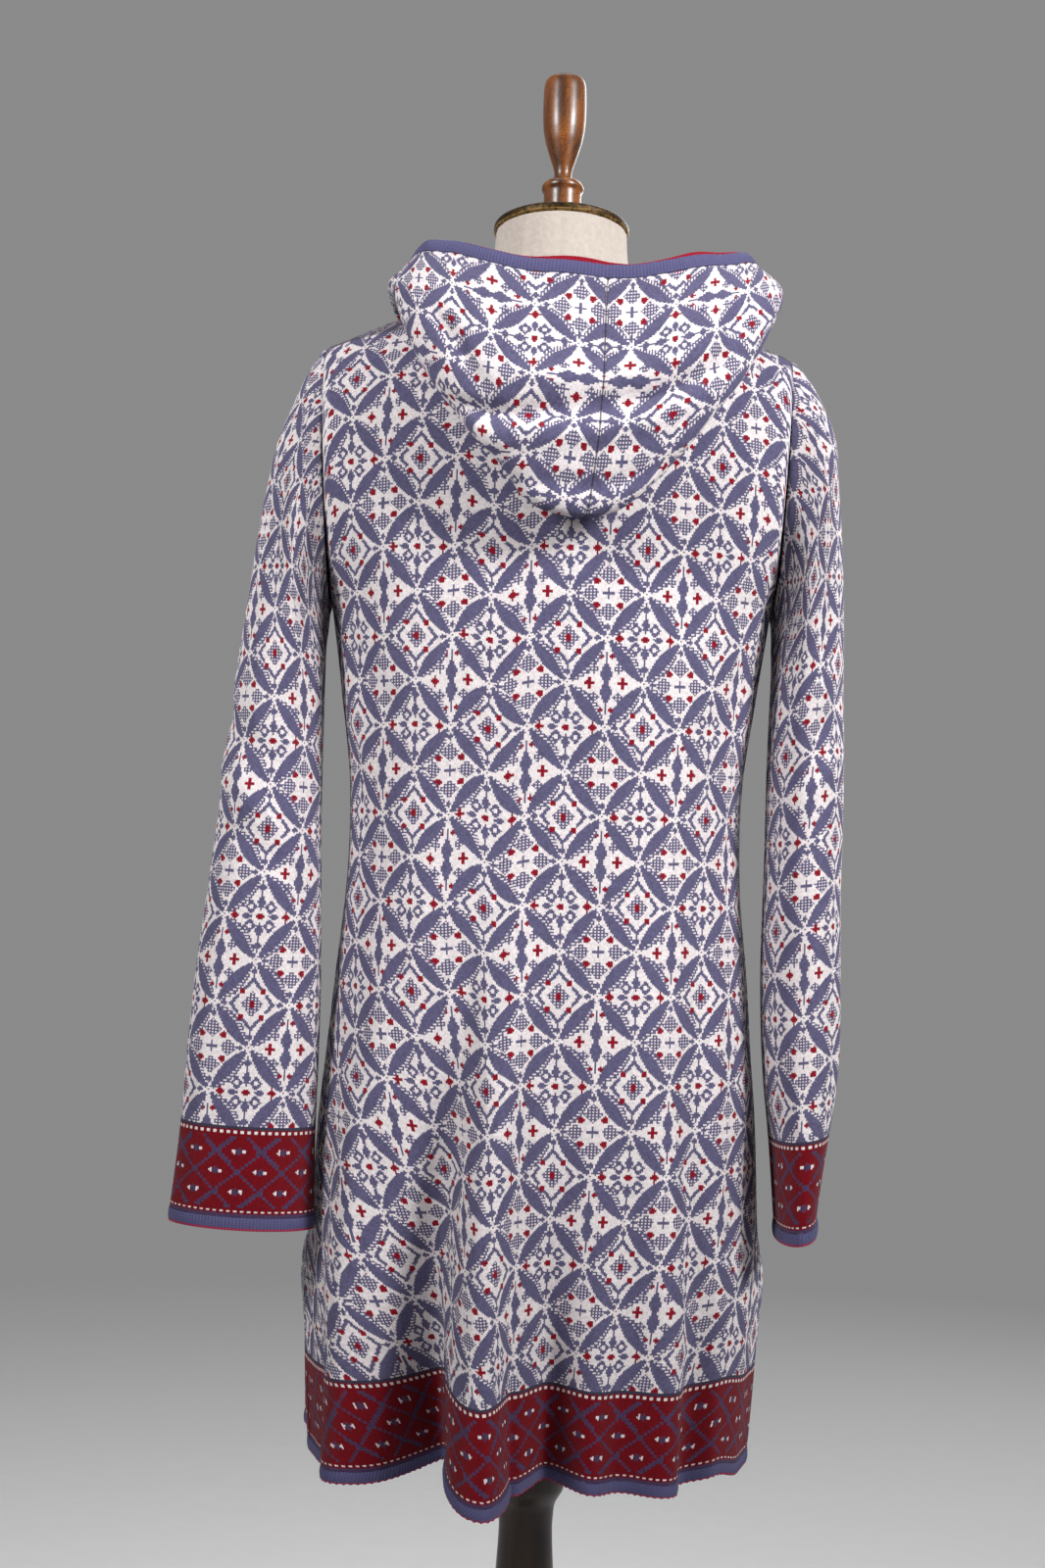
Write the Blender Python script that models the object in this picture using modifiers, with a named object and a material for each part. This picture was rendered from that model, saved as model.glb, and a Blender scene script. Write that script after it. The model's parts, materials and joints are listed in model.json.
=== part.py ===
"""Hooded knit cardigan, closed at the front, worn by a limbless dress form on a turned stand.

Metres, +Z up. The back of the garment faces -Y, so +X is the wearer's right.
The origin is the centre of the stand's underside, on the floor.
The body cloth is one smooth surface, body_point(angle, height): the panels, the edges, the button
bands and the form inside are all made from its points, moved in or out.
"""

import math

import bmesh
import bpy
import numpy as np
from mathutils import Matrix, Vector

COLLECTION = "hooded_cardigan_on_dress_form"

# Cloth
WALL = 0.0022
SEAM_GAP = 0.0003
EDGE_WALL = 0.0032
EDGE_HEIGHT = 0.010
FACING_WALL = 0.0012

# Body cloth: heights, the armhole's highest and lowest point, and the neckline
HEM_Z = 0.517
ARMPIT_X, ARMPIT_Z = 0.176, 1.190
SHOULDER_X, SHOULDER_Z = 0.187, 1.392
ARMHOLE_HALF_DEPTH = 0.062
NECK_X, NECK_Z = 0.074, 1.440
NECK_BACK_DEPTH, NECK_BACK_DROP = 0.066, 0.012
NECK_FRONT_DEPTH, NECK_FRONT_DROP = 0.083, 0.068
SECTION_POWER = 2.2
ARCH_POWER = 3.0

# Cross-sections of the body below the armpits:
# height, half width, depth of the back, depth of the front, extra width of the front's sides
BODY_SECTIONS = (
    (0.500, 0.170, 0.121, 0.160, 0.029),
    (0.580, 0.175, 0.121, 0.156, 0.029),
    (0.665, 0.178, 0.121, 0.150, 0.027),
    (0.700, 0.177, 0.120, 0.147, 0.013),
    (0.790, 0.173, 0.118, 0.138, 0.008),
    (0.885, 0.164, 0.113, 0.128, 0.004),
    (0.980, 0.157, 0.108, 0.120, 0.000),
    (1.045, 0.157, 0.108, 0.118, 0.000),
    (1.120, 0.166, 0.112, 0.121, 0.000),
    (1.190, 0.176, 0.115, 0.122, 0.000),
)
FLARE_ANGLE, FLARE_HALF_ANGLE = 122.0, 44.0
FOLD_GROWTH = 1.35

# Folds of the skirt, by angle round the body from the centre back, positive to the wearer's right:
# angle at the hem, angle at the top, half angle on each side, height where it ends, depth at the hem
BODY_FOLDS = (
    (-9.5, -6.0, 14.0, 9.0, 1.000, 0.058),
    (-27.0, -23.0, 13.0, 11.0, 0.960, -0.044),
    (4.0, 3.0, 7.0, 10.0, 0.930, -0.030),
    (-52.0, -49.0, 17.0, 16.0, 0.980, 0.024),
    (22.0, 20.0, 8.0, 8.0, 0.820, -0.010),
    (34.0, 31.0, 9.0, 9.0, 0.900, 0.013),
    (46.0, 43.0, 9.0, 10.0, 0.880, -0.014),
    (104.0, 102.0, 15.0, 13.0, 0.860, -0.010),
    (130.0, 131.0, 15.0, 13.0, 0.980, 0.018),
    (152.0, 154.0, 12.0, 12.0, 0.900, -0.014),
    (-106.0, -103.0, 14.0, 16.0, 0.840, -0.010),
    (-127.0, -129.0, 14.0, 15.0, 0.960, 0.016),
    (-148.0, -150.0, 12.0, 12.0, 0.940, -0.015),
    (-166.0, -166.0, 9.0, 10.0, 0.860, 0.010),
)

BACK_COLUMNS, FRONT_COLUMNS = 33, 13
SKIRT_ROWS, YOKE_ROWS = 12, 10
# Columns are spaced by the hem's length, with this share of even angles
EVEN_SHARE, TRIAL_ANGLES = 0.35, 400

# Sleeves, from the armhole to the cuff's edge, one row for a section:
# outer x and height, inner x and height, half depth, shift in y
LEFT_SLEEVE = (
    (0.187, 1.392, 0.1760, 1.190, 0.062, 0.000),
    (0.199, 1.373, 0.1772, 1.184, 0.065, 0.000),
    (0.2095, 1.348, 0.1782, 1.178, 0.066, -0.001),
    (0.2205, 1.318, 0.1786, 1.170, 0.066, -0.003),
    (0.2290, 1.275, 0.1788, 1.160, 0.064, -0.006),
    (0.2370, 1.228, 0.1788, 1.146, 0.060, -0.010),
    (0.2440, 1.175, 0.1788, 1.122, 0.055, -0.014),
    (0.2520, 1.105, 0.1788, 1.075, 0.050, -0.018),
    (0.2590, 1.035, 0.1782, 1.015, 0.046, -0.023),
    (0.2665, 0.960, 0.1765, 0.950, 0.043, -0.028),
    (0.2740, 0.885, 0.1745, 0.880, 0.041, -0.032),
    (0.2785, 0.825, 0.1745, 0.820, 0.039, -0.036),
    (0.2820, 0.768, 0.1750, 0.764, 0.037, -0.040),
    (0.2870, 0.708, 0.1735, 0.704, 0.036, -0.044),
)
RIGHT_SLEEVE = (
    (0.187, 1.392, 0.1760, 1.190, 0.062, 0.000),
    (0.200, 1.379, 0.1772, 1.184, 0.065, 0.000),
    (0.2125, 1.358, 0.1780, 1.178, 0.067, -0.001),
    (0.2230, 1.334, 0.1784, 1.170, 0.068, -0.002),
    (0.2275, 1.290, 0.1784, 1.160, 0.068, -0.004),
    (0.2310, 1.240, 0.1782, 1.146, 0.066, -0.006),
    (0.2340, 1.180, 0.1778, 1.122, 0.064, -0.009),
    (0.2355, 1.110, 0.1768, 1.075, 0.062, -0.012),
    (0.2362, 1.040, 0.1756, 1.015, 0.060, -0.015),
    (0.2368, 0.965, 0.1750, 0.950, 0.059, -0.018),
    (0.2370, 0.895, 0.1758, 0.880, 0.059, -0.021),
    (0.2350, 0.830, 0.1790, 0.820, 0.061, -0.024),
    (0.2300, 0.772, 0.1855, 0.764, 0.063, -0.026),
    (0.2225, 0.712, 0.1910, 0.704, 0.064, -0.028),
)
SLEEVE_COLUMNS = 2 * YOKE_ROWS

# Hood, let down on the back as a pouch round the neck, from the centre back to the front:
# angle round the neck, the fold at the pouch's foot (x, y, z), the rim of the face opening (x, y, z)
RIGHT_HOOD = (
    (0.0, 0.021, -0.147, 1.243, 0.035, -0.128, 1.430),
    (16.0, 0.052, -0.148, 1.254, 0.056, -0.127, 1.431),
    (32.0, 0.086, -0.144, 1.290, 0.082, -0.122, 1.437),
    (48.0, 0.114, -0.133, 1.328, 0.106, -0.112, 1.444),
    (62.0, 0.139, -0.112, 1.364, 0.127, -0.096, 1.449),
    (76.0, 0.157, -0.084, 1.398, 0.142, -0.074, 1.453),
    (90.0, 0.164, -0.046, 1.421, 0.149, -0.042, 1.455),
    (110.0, 0.151, 0.012, 1.427, 0.136, 0.006, 1.450),
    (132.0, 0.119, 0.066, 1.405, 0.108, 0.052, 1.434),
    (154.0, 0.068, 0.107, 1.372, 0.063, 0.090, 1.408),
    (176.5, 0.008, 0.124, 1.345, 0.008, 0.104, 1.378),
)
LEFT_HOOD = (
    (0.0, 0.021, -0.147, 1.243, 0.035, -0.128, 1.430),
    (16.0, -0.018, -0.149, 1.254, 0.004, -0.129, 1.433),
    (32.0, -0.044, -0.146, 1.284, -0.026, -0.130, 1.434),
    (48.0, -0.072, -0.138, 1.318, -0.056, -0.124, 1.441),
    (62.0, -0.096, -0.120, 1.350, -0.082, -0.108, 1.450),
    (76.0, -0.117, -0.092, 1.385, -0.099, -0.086, 1.453),
    (90.0, -0.127, -0.052, 1.418, -0.110, -0.052, 1.452),
    (110.0, -0.126, 0.010, 1.432, -0.113, 0.004, 1.452),
    (132.0, -0.108, 0.068, 1.410, -0.099, 0.056, 1.440),
    (154.0, -0.062, 0.106, 1.372, -0.057, 0.089, 1.407),
    (176.5, -0.008, 0.124, 1.345, -0.008, 0.104, 1.378),
)
HOOD_ROWS, HOOD_STEP = 15, 13.0
HOOD_STAND, HOOD_STAND_LEAN, HOOD_STAND_RISE = 0.019, 0.25, 0.8
HOOD_CLEARANCE = 0.006
PROFILE_STEPS = 60
# The layer next to the body passes these shares of the way from the neckline to the fold
INNER_SHARE, INNER_LOW_SHARE, INNER_PUSH = 0.55, 0.86, 0.004
# The outer layer stands off the line from the fold to the rim by the pouch's depth
POUCH_DEPTH = 0.020
POUCH_LOW_SHARE, POUCH_LOW_DEPTH, POUCH_MIDDLE_SHARE = 0.10, 0.016, 0.50
TRIM_HEIGHT = 0.011
FACING_HEIGHT, FACING_SHOWS = 0.0135, 0.003
TRIM_LIFT = 0.0005

# Front closing: an under band between the fronts, an upper band over it, and buttons
BAND_HALF_WIDTH = 0.0145
BAND_TOP = 0.960
BAND_SHARES = (-1.0, -0.4, 0.4, 1.0)
BUTTON_COUNT, BUTTON_RADIUS, BUTTON_TOP_RADIUS, BUTTON_HEIGHT = 6, 0.0095, 0.0080, 0.0035
BUTTON_SEGMENTS, BUTTON_SPAN, BUTTON_STAND = 14, 0.004, 0.00078
TOP_BUTTON_Z, LOW_BUTTON_Z = 1.320, 0.790

# Dress form: clearance inside the cloth, by height
FORM_CLEARANCE = (
    (0.800, 0.034),
    (0.880, 0.020),
    (0.960, 0.019),
    (1.045, 0.027),
    (1.120, 0.021),
    (1.200, 0.012),
    (1.280, 0.008),
    (1.350, 0.005),
    (1.440, 0.005),
)
RIDGE_CLEARANCE = 0.0005
FORM_BOTTOM_Z = 0.800
FORM_ROWS_LOW, FORM_ROWS_HIGH = 7, 9
FORM_COLUMNS = 9
FORM_NECK_CLEARANCE, FORM_NECK_SPREAD, FORM_NECK_FROM = 0.017, 0.22, 0.55
# How far the form reaches to the sides: at the armholes' flat plates, and below them
PLATE_REACH, SIDE_REACH = 0.885, 0.992
PLATE_FROM, PLATE_TO = -0.12, 0.25
NECK_TOP_RADIUS, NECK_TOP_Z, CAP_TILT = 0.0525, 1.4885, math.radians(10.0)
NECK_ROWS, NECK_TOP_GAP = 4, 0.0004

# Cap and finial, turned and tilted with the neck: radius, and height above the neck's top
CAP_PROFILE = (
    (0.0, 0.0125), (0.018, 0.0120), (0.038, 0.0105), (0.050, 0.0085), (0.0542, 0.0062),
    (0.0545, 0.0022), (0.0528, 0.0000), (0.0, 0.0000),
)
FINIAL_PROFILE = (
    (0.0, 0.1350), (0.0125, 0.1345), (0.0160, 0.1320), (0.0171, 0.1270), (0.0175, 0.1120),
    (0.0174, 0.1000), (0.0167, 0.0900), (0.0149, 0.0800), (0.0121, 0.0705), (0.0097, 0.0630),
    (0.0079, 0.0575), (0.0070, 0.0530), (0.0072, 0.0475), (0.0150, 0.0440), (0.0169, 0.0410),
    (0.0169, 0.0385), (0.0150, 0.0355), (0.0150, 0.0128), (0.0, 0.0128),
)
# Stand, turned: radius and height above the floor
POST_TOP_Z, POST_FOOT_Z, BASE_HEIGHT, BASE_RADIUS = 0.7997, 0.0303, 0.030, 0.190
POST_PROFILE = (
    (0.0, POST_TOP_Z), (0.0213, POST_TOP_Z), (0.0213, 0.545), (0.0260, 0.535), (0.0312, 0.520),
    (0.0318, 0.496), (0.0300, 0.482), (0.0226, 0.470), (0.0212, 0.450), (0.0240, 0.400),
    (0.0275, 0.320), (0.0270, 0.240), (0.0220, 0.150), (0.0200, 0.100), (0.0290, 0.085),
    (0.0330, 0.060), (0.0420, 0.045), (0.0500, POST_FOOT_Z), (0.0, POST_FOOT_Z),
)
BASE_PROFILE = (
    (0.0, BASE_HEIGHT), (0.120, BASE_HEIGHT), (0.150, 0.026), (0.168, 0.022), (0.184, 0.018),
    (BASE_RADIUS, 0.012), (0.188, 0.0), (0.0, 0.0),
)
TURNED_STEPS = 24

# Colours (linear), roughness, metallic
FINISHES = {
    "jacquard_knit": ((0.55, 0.52, 0.55), 0.85, 0.0),
    "blue_knit": ((0.10, 0.12, 0.33), 0.85, 0.0),
    "red_knit": ((0.30, 0.01, 0.03), 0.85, 0.0),
    "button": ((0.10, 0.11, 0.28), 0.35, 0.0),
    "linen": ((0.68, 0.63, 0.56), 0.80, 0.0),
    "antique_brass": ((0.20, 0.13, 0.06), 0.35, 0.9),
    "brown_wood": ((0.16, 0.05, 0.012), 0.25, 0.0),
    "dark_wood": ((0.03, 0.014, 0.008), 0.30, 0.0),
}


def smoothstep(low, high, value):
    share = min(max((value - low) / (high - low), 0.0), 1.0)
    return share * share * (3.0 - 2.0 * share)


def table_value(rows, key, column):
    """The value of one column at a key, on a smooth curve through the rows."""
    keys = [row[0] for row in rows]
    values = [row[column] for row in rows]
    key = min(max(key, keys[0]), keys[-1])
    i = min(max(int(np.searchsorted(keys, key)) - 1, 0), len(keys) - 2)
    slopes = np.gradient(values, keys)
    step = keys[i + 1] - keys[i]
    share = (key - keys[i]) / step
    return (
        values[i] * (2 * share**3 - 3 * share**2 + 1)
        + slopes[i] * step * (share**3 - 2 * share**2 + share)
        + values[i + 1] * (3 * share**2 - 2 * share**3)
        + slopes[i + 1] * step * (share**3 - share**2)
    )


def bump(offset, low_half, high_half):
    """A soft ridge of height 1, which ends low_half before its middle and high_half after it."""
    share = offset / (high_half if offset > 0 else low_half)
    return 0.0 if abs(share) >= 1 else math.cos(share * math.pi / 2) ** 2


def neck_share():
    """Where the neckline ends on the shoulder line, as a share of the shoulder's half width."""
    return NECK_X / SHOULDER_X


def angle_of_share(share):
    return math.degrees(math.asin(min(share, 1.0) ** (SECTION_POWER / 2)))


def skirt_point(angle, z, folded):
    """A point below the armpits, at an angle from the centre back."""
    turn = math.radians(abs(angle))
    side = -1.0 if angle < 0 else 1.0
    across = abs(math.sin(turn)) ** (2 / SECTION_POWER)
    along = abs(math.cos(turn)) ** (2 / SECTION_POWER)
    width = table_value(BODY_SECTIONS, z, 1)
    at_front = abs(angle) > 90
    depth = table_value(BODY_SECTIONS, z, 3 if at_front else 2)
    flare = table_value(BODY_SECTIONS, z, 4)
    flare *= bump(abs(angle) - FLARE_ANGLE, FLARE_HALF_ANGLE, FLARE_HALF_ANGLE)
    x = side * (width * across + flare)
    y = depth * along * (1.0 if at_front else -1.0)
    if folded:
        out = Vector((x / width**2, y / depth**2, 0.0)).normalized()
        push = 0.0
        for hem_angle, top_angle, low_half, high_half, top_z, fold_depth in BODY_FOLDS:
            drop = min(max((top_z - z) / (top_z - HEM_Z), 0.0), 1.05)
            middle = top_angle + (hem_angle - top_angle) * drop
            push += fold_depth * drop**FOLD_GROWTH * bump(angle - middle, low_half, high_half)
        x += out.x * push
        y += out.y * push
    return Vector((x, y, z))


def yoke_point(angle, rise):
    """A point above the armpits. rise runs from 0 at the armpit to 1 at the shoulder or neckline."""
    side = -1.0 if angle < 0 else 1.0
    at_front = abs(angle) > 90
    share = abs(math.sin(math.radians(angle))) ** (2 / SECTION_POWER)
    lift = (1 - math.cos(math.pi * rise)) / 2
    armhole_x = ARMPIT_X + (SHOULDER_X - ARMPIT_X) * lift
    armhole_depth = ARMHOLE_HALF_DEPTH * math.sin(math.pi * rise)
    top_z = NECK_Z + (SHOULDER_Z - NECK_Z) * (share * SHOULDER_X - NECK_X) / (SHOULDER_X - NECK_X)
    top_depth = 0.0
    if share < neck_share():
        round_neck = math.sqrt(1 - (share / neck_share()) ** 2)
        top_depth = (NECK_FRONT_DEPTH if at_front else NECK_BACK_DEPTH) * round_neck
        top_z = NECK_Z - (NECK_FRONT_DROP * round_neck**1.5 if at_front else NECK_BACK_DROP * round_neck)
    base_depth = BODY_SECTIONS[-1][3 if at_front else 2]
    kept = lift**ARCH_POWER
    middle_depth = math.sqrt(base_depth**2 * (1 - kept) + top_depth**2 * kept)
    power = SECTION_POWER
    edge = share**power
    depth = ((1 - edge) * middle_depth**power + edge * armhole_depth**power) ** (1 / power)
    z = ARMPIT_Z + (top_z - ARMPIT_Z) * lift
    return Vector((side * share * armhole_x, depth if at_front else -depth, z))


def body_point(angle, rise, folded=True):
    """The outside of the body cloth. rise is -1 at the hem, 0 at the armpit, 1 at the top."""
    angle = (angle + 180.0) % 360.0 - 180.0
    if rise <= 0:
        return skirt_point(angle, HEM_Z + (ARMPIT_Z - HEM_Z) * (1 + rise), folded)
    return yoke_point(angle, min(rise, 1.0))


def body_normal(angle, rise, folded=True):
    """Outwards. On the shoulder line it has no slope to front or back, so that both panels share it."""
    step_angle, step_rise = 0.4, 0.012
    low, high = rise - step_rise, min(rise + step_rise, 1.0)
    up = body_point(angle, high, folded) - body_point(angle, low, folded)
    after, before = (body_point(angle + step, rise, folded) for step in (step_angle, -step_angle))
    normal = (after - before).cross(up).normalized()
    share = abs(math.sin(math.radians(angle))) ** (2 / SECTION_POWER)
    if rise > 1 - 1e-6 and share > neck_share() - 1e-4:
        slope = math.copysign(NECK_Z - SHOULDER_Z, angle)
        normal = Vector((slope, 0.0, SHOULDER_X - NECK_X)).normalized()
    return normal


def new_material(name):
    color, roughness, metallic = FINISHES[name]
    material = bpy.data.materials.new(name)
    material.use_nodes = True
    shader = material.node_tree.nodes["Principled BSDF"]
    shader.inputs["Base Color"].default_value = (*color, 1.0)
    shader.inputs["Roughness"].default_value = roughness
    shader.inputs["Metallic"].default_value = metallic
    return material


def finish_object(name, mesh, finish):
    mesh.shade_smooth()
    mesh.set_sharp_from_angle(angle=math.radians(50))
    mesh.materials.append(MATERIALS[finish])
    item = bpy.data.objects.new(name, mesh)
    PARTS.objects.link(item)
    return item


def mesh_of(bm, name):
    bmesh.ops.recalc_face_normals(bm, faces=bm.faces)
    mesh = bpy.data.meshes.new(name)
    bm.to_mesh(mesh)
    bm.free()
    return mesh


def add_grid(bm, grid, wrap, flip_grid):
    """Two triangles for each cell, cut along the shorter diagonal of flip_grid, so that both skins match."""
    rows, columns = len(grid), len(grid[0])
    for i in range(rows - 1):
        for j in range(columns if wrap else columns - 1):
            k = (j + 1) % columns
            a, b, c, d = grid[i][j], grid[i][k], grid[i + 1][k], grid[i + 1][j]
            rising = flip_grid[i][j].co - flip_grid[i + 1][k].co
            falling = flip_grid[i][k].co - flip_grid[i + 1][j].co
            if rising.length <= falling.length:
                bm.faces.new((a, b, c))
                bm.faces.new((a, c, d))
            else:
                bm.faces.new((a, b, d))
                bm.faces.new((b, c, d))


def wall_object(name, outer, inner, finish, wrap=False):
    """A cloth wall between two like grids of points, closed along its free edges."""
    bm = bmesh.new()
    out = [[bm.verts.new(point) for point in row] for row in outer]
    into = [[bm.verts.new(point) for point in row] for row in inner]
    add_grid(bm, out, wrap, out)
    add_grid(bm, into, wrap, out)
    for row in (0, -1):
        add_grid(bm, (out[row], into[row]), wrap, (out[row], into[row]))
    if not wrap:
        for column in (0, -1):
            edge = [row[column] for row in out]
            back_edge = [row[column] for row in into]
            add_grid(bm, (edge, back_edge), False, (edge, back_edge))
    return finish_object(name, mesh_of(bm, name), finish)


def skins(points, normals, wall, lift=0.0):
    """The outer and the inner grid of a wall whose outside is the points, moved out by lift."""
    outer = [[p + n * lift for p, n in zip(row, ns)] for row, ns in zip(points, normals)]
    inner = [[p + n * (lift - wall) for p, n in zip(row, ns)] for row, ns in zip(points, normals)]
    return outer, inner


def spread_angles(low, high, count):
    """Angles from low to high, spaced by the hem's length, with the neckline's ends among them."""
    trial = np.linspace(low, high, TRIAL_ANGLES)
    hem = [body_point(angle, -1.0) for angle in trial]
    steps = [0.0] + [(b - a).length for a, b in zip(hem, hem[1:])]
    along = np.cumsum(steps)
    mixed = (1 - EVEN_SHARE) * along / along[-1] + EVEN_SHARE * np.linspace(0, 1, TRIAL_ANGLES)
    angles = list(np.interp(np.linspace(0, 1, count), mixed, trial))
    angles[0], angles[-1] = low, high
    neck = angle_of_share(neck_share())
    for corner in (-180 + neck, -neck, 0.0, neck, 180 - neck):
        if low < corner < high:
            nearest = min(range(1, count - 1), key=lambda i: abs(angles[i] - corner))
            angles[nearest] = corner
    return angles


def body_rises():
    skirt = [-1 + i / SKIRT_ROWS for i in range(SKIRT_ROWS)]
    return skirt + [i / YOKE_ROWS for i in range(YOKE_ROWS + 1)]


def armhole_radial(point, side):
    """At the armhole the wall's thickness lies in the armhole's own plane."""
    middle = Vector((side * (ARMPIT_X + SHOULDER_X) / 2, 0.0, (ARMPIT_Z + SHOULDER_Z) / 2))
    offset = point - middle
    height = ((SHOULDER_Z - ARMPIT_Z) / 2) ** 2
    return Vector((offset.x / height, offset.y / ARMHOLE_HALF_DEPTH**2, offset.z / height)).normalized()


def panel(name, low, high, count):
    """A body panel between two angles, from the hem's edge to the shoulder and neckline."""
    angles = spread_angles(low, high, count)
    points, normals = [], []
    for rise in body_rises():
        row, row_normals = [], []
        for angle in angles:
            if abs(angle) == front_edge_angle(-1.0):
                angle = math.copysign(front_edge_angle(rise), angle)
            point, normal = body_point(angle, rise), body_normal(angle, rise)
            if rise >= 0 and abs(abs(angle) - 90) < 0.5:
                normal = armhole_radial(point, math.copysign(1.0, angle))
            if rise > 1 - 1e-6:
                point = point - (point - body_point(angle, 0.985)).normalized() * SEAM_GAP / 2
                point.y += math.copysign(SEAM_GAP / 2, abs(angle) - 90)
            row.append(point)
            row_normals.append(normal)
        points.append(row)
        normals.append(row_normals)
    wall_object(name, *skins(points, normals, WALL), "jacquard_knit")


def seam_angle():
    """Half the gap between two panels at the side, as an angle."""
    return math.degrees(SEAM_GAP / 2 / ARMPIT_X) * 1.3


def half_width(rise):
    """Half the body's width at the sides or at the armholes."""
    if rise <= 0:
        return table_value(BODY_SECTIONS, HEM_Z + (ARMPIT_Z - HEM_Z) * (1 + rise), 1)
    return ARMPIT_X + (SHOULDER_X - ARMPIT_X) * (1 - math.cos(math.pi * min(rise, 1.0))) / 2


def front_edge_angle(rise):
    """Where the fronts end beside the button bands."""
    return 180.0 - angle_of_share((BAND_HALF_WIDTH + SEAM_GAP) / half_width(rise))


def panel_spans():
    """The angles that the back, the right front and the left front run between, with their columns."""
    side, front = seam_angle(), front_edge_angle(-1.0)
    return (
        (-90 + side, 90 - side, BACK_COLUMNS),
        (90 + side, front, FRONT_COLUMNS),
        (-front, -90 - side, FRONT_COLUMNS),
    )


def make_body():
    for name, span in zip(("back", "front_right", "front_left"), panel_spans()):
        panel(name, *span)


def make_hem_edge():
    """The knitted edge hangs from the hem, all round but for the button bands."""
    reach = front_edge_angle(-1.0) - 0.15
    angles = spread_angles(-reach, reach, BACK_COLUMNS + 2 * FRONT_COLUMNS - 8)
    height = ARMPIT_Z - HEM_Z
    top = -1 - SEAM_GAP / height
    rises = (top, top - EDGE_HEIGHT / height)
    points = [[body_point(angle, rise) for angle in angles] for rise in rises]
    normals = [[body_normal(angle, -1.0) for angle in angles] for rise in rises]
    wall_object("hem_edge", *skins(points, normals, EDGE_WALL, TRIM_LIFT), "blue_knit")


def sleeve_ring(rows, index, side, turns):
    outer_x, outer_z, inner_x, inner_z, half_depth, shift = rows[index]
    outer = Vector((side * outer_x, shift, outer_z))
    inner = Vector((side * inner_x, shift, inner_z))
    middle, half = (outer + inner) / 2, (outer - inner) / 2
    deep = Vector((0.0, half_depth, 0.0))
    return [middle + half * math.cos(turn) + deep * math.sin(turn) for turn in turns]


def grid_normals(points, wrap_centres):
    """Outward normals of a tube's grid, by differences between neighbours."""
    rows, columns = len(points), len(points[0])
    normals = []
    for i in range(rows):
        row = []
        for j in range(columns):
            along = points[min(i + 1, rows - 1)][j] - points[max(i - 1, 0)][j]
            across = points[i][(j + 1) % columns] - points[i][j - 1]
            normal = along.cross(across).normalized()
            if normal.dot(points[i][j] - wrap_centres[i]) < 0:
                normal.negate()
            row.append(normal)
        normals.append(row)
    return normals


def ring_centre(ring):
    return sum(ring, Vector()) / len(ring)


def make_sleeve(name, edge_name, rows, side):
    turns = [2 * math.pi * k / SLEEVE_COLUMNS for k in range(SLEEVE_COLUMNS)]
    points = [sleeve_ring(rows, i, side, turns) for i in range(len(rows))]
    centres = [ring_centre(ring) for ring in points]
    normals = grid_normals(points, centres)
    normals[0] = [armhole_radial(point, side) for point in points[0]]
    out_of_armhole = Vector((side * (SHOULDER_Z - ARMPIT_Z), 0.0, ARMPIT_X - SHOULDER_X)).normalized()
    points[0] = [point + out_of_armhole * SEAM_GAP for point in points[0]]
    wall_object(name, *skins(points, normals, WALL), "jacquard_knit", wrap=True)
    down = (centres[-1] - centres[-2]).normalized()
    edge = [[point + down * drop for point in points[-1]] for drop in (SEAM_GAP, SEAM_GAP + EDGE_HEIGHT)]
    edge_skins = skins(edge, [normals[-1], normals[-1]], EDGE_WALL, TRIM_LIFT)
    wall_object(edge_name, *edge_skins, "blue_knit", wrap=True)


def cloth_profile(x, at_front):
    """Depths and heights of the body cloth above the armpit, where a plane of constant x cuts it."""
    depths, heights = [], []
    for step in range(PROFILE_STEPS + 1):
        rise = step / PROFILE_STEPS
        angle = angle_of_share(min(abs(x) / half_width(rise), 0.999))
        point = yoke_point(180.0 - angle if at_front else angle, rise)
        depths.append(abs(point.y))
        heights.append(point.z)
    return depths, heights


def clear_of_body(point, clearance):
    """The point moved out, square to the body cloth, where it would come nearer than the clearance."""
    depths, heights = cloth_profile(point.x, point.y > 0)
    y, z = abs(point.y), point.z
    near = min(range(PROFILE_STEPS + 1), key=lambda k: (depths[k] - y) ** 2 + (heights[k] - z) ** 2)
    low, high = max(near - 1, 0), min(near + 1, PROFILE_STEPS)
    along = Vector((depths[high] - depths[low], heights[high] - heights[low])).normalized()
    away = Vector((y - depths[near], z - heights[near]))
    if near == PROFILE_STEPS and depths[near] > 0.001 and away.dot(along) > 0:
        return point
    out = Vector((along.y, -along.x))
    short = max(clearance - away.dot(out), 0.0)
    return Vector((point.x, math.copysign(y + out.x * short, point.y), z + out.y * short))


def curve_through(controls, count):
    """Points along a smooth curve through the controls, evenly spaced by length."""
    padded = [controls[0] * 2 - controls[1]] + controls + [controls[-1] * 2 - controls[-2]]
    fine = []
    for a, b, c, d in zip(padded, padded[1:], padded[2:], padded[3:]):
        square, cube = a * 2 - b * 5 + c * 4 - d, b * 3 - a - c * 3 + d
        for k in range(12):
            t = k / 12
            fine.append(b + (c - a) * t / 2 + square * t**2 / 2 + cube * t**3 / 2)
    fine.append(controls[-1])
    along = np.cumsum([0.0] + [(b - a).length for a, b in zip(fine, fine[1:])])
    places = np.linspace(0, along[-1], count)
    by_axis = [np.interp(places, along, [point[axis] for point in fine]) for axis in range(3)]
    return [Vector(point) for point in zip(*by_axis)]


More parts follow.
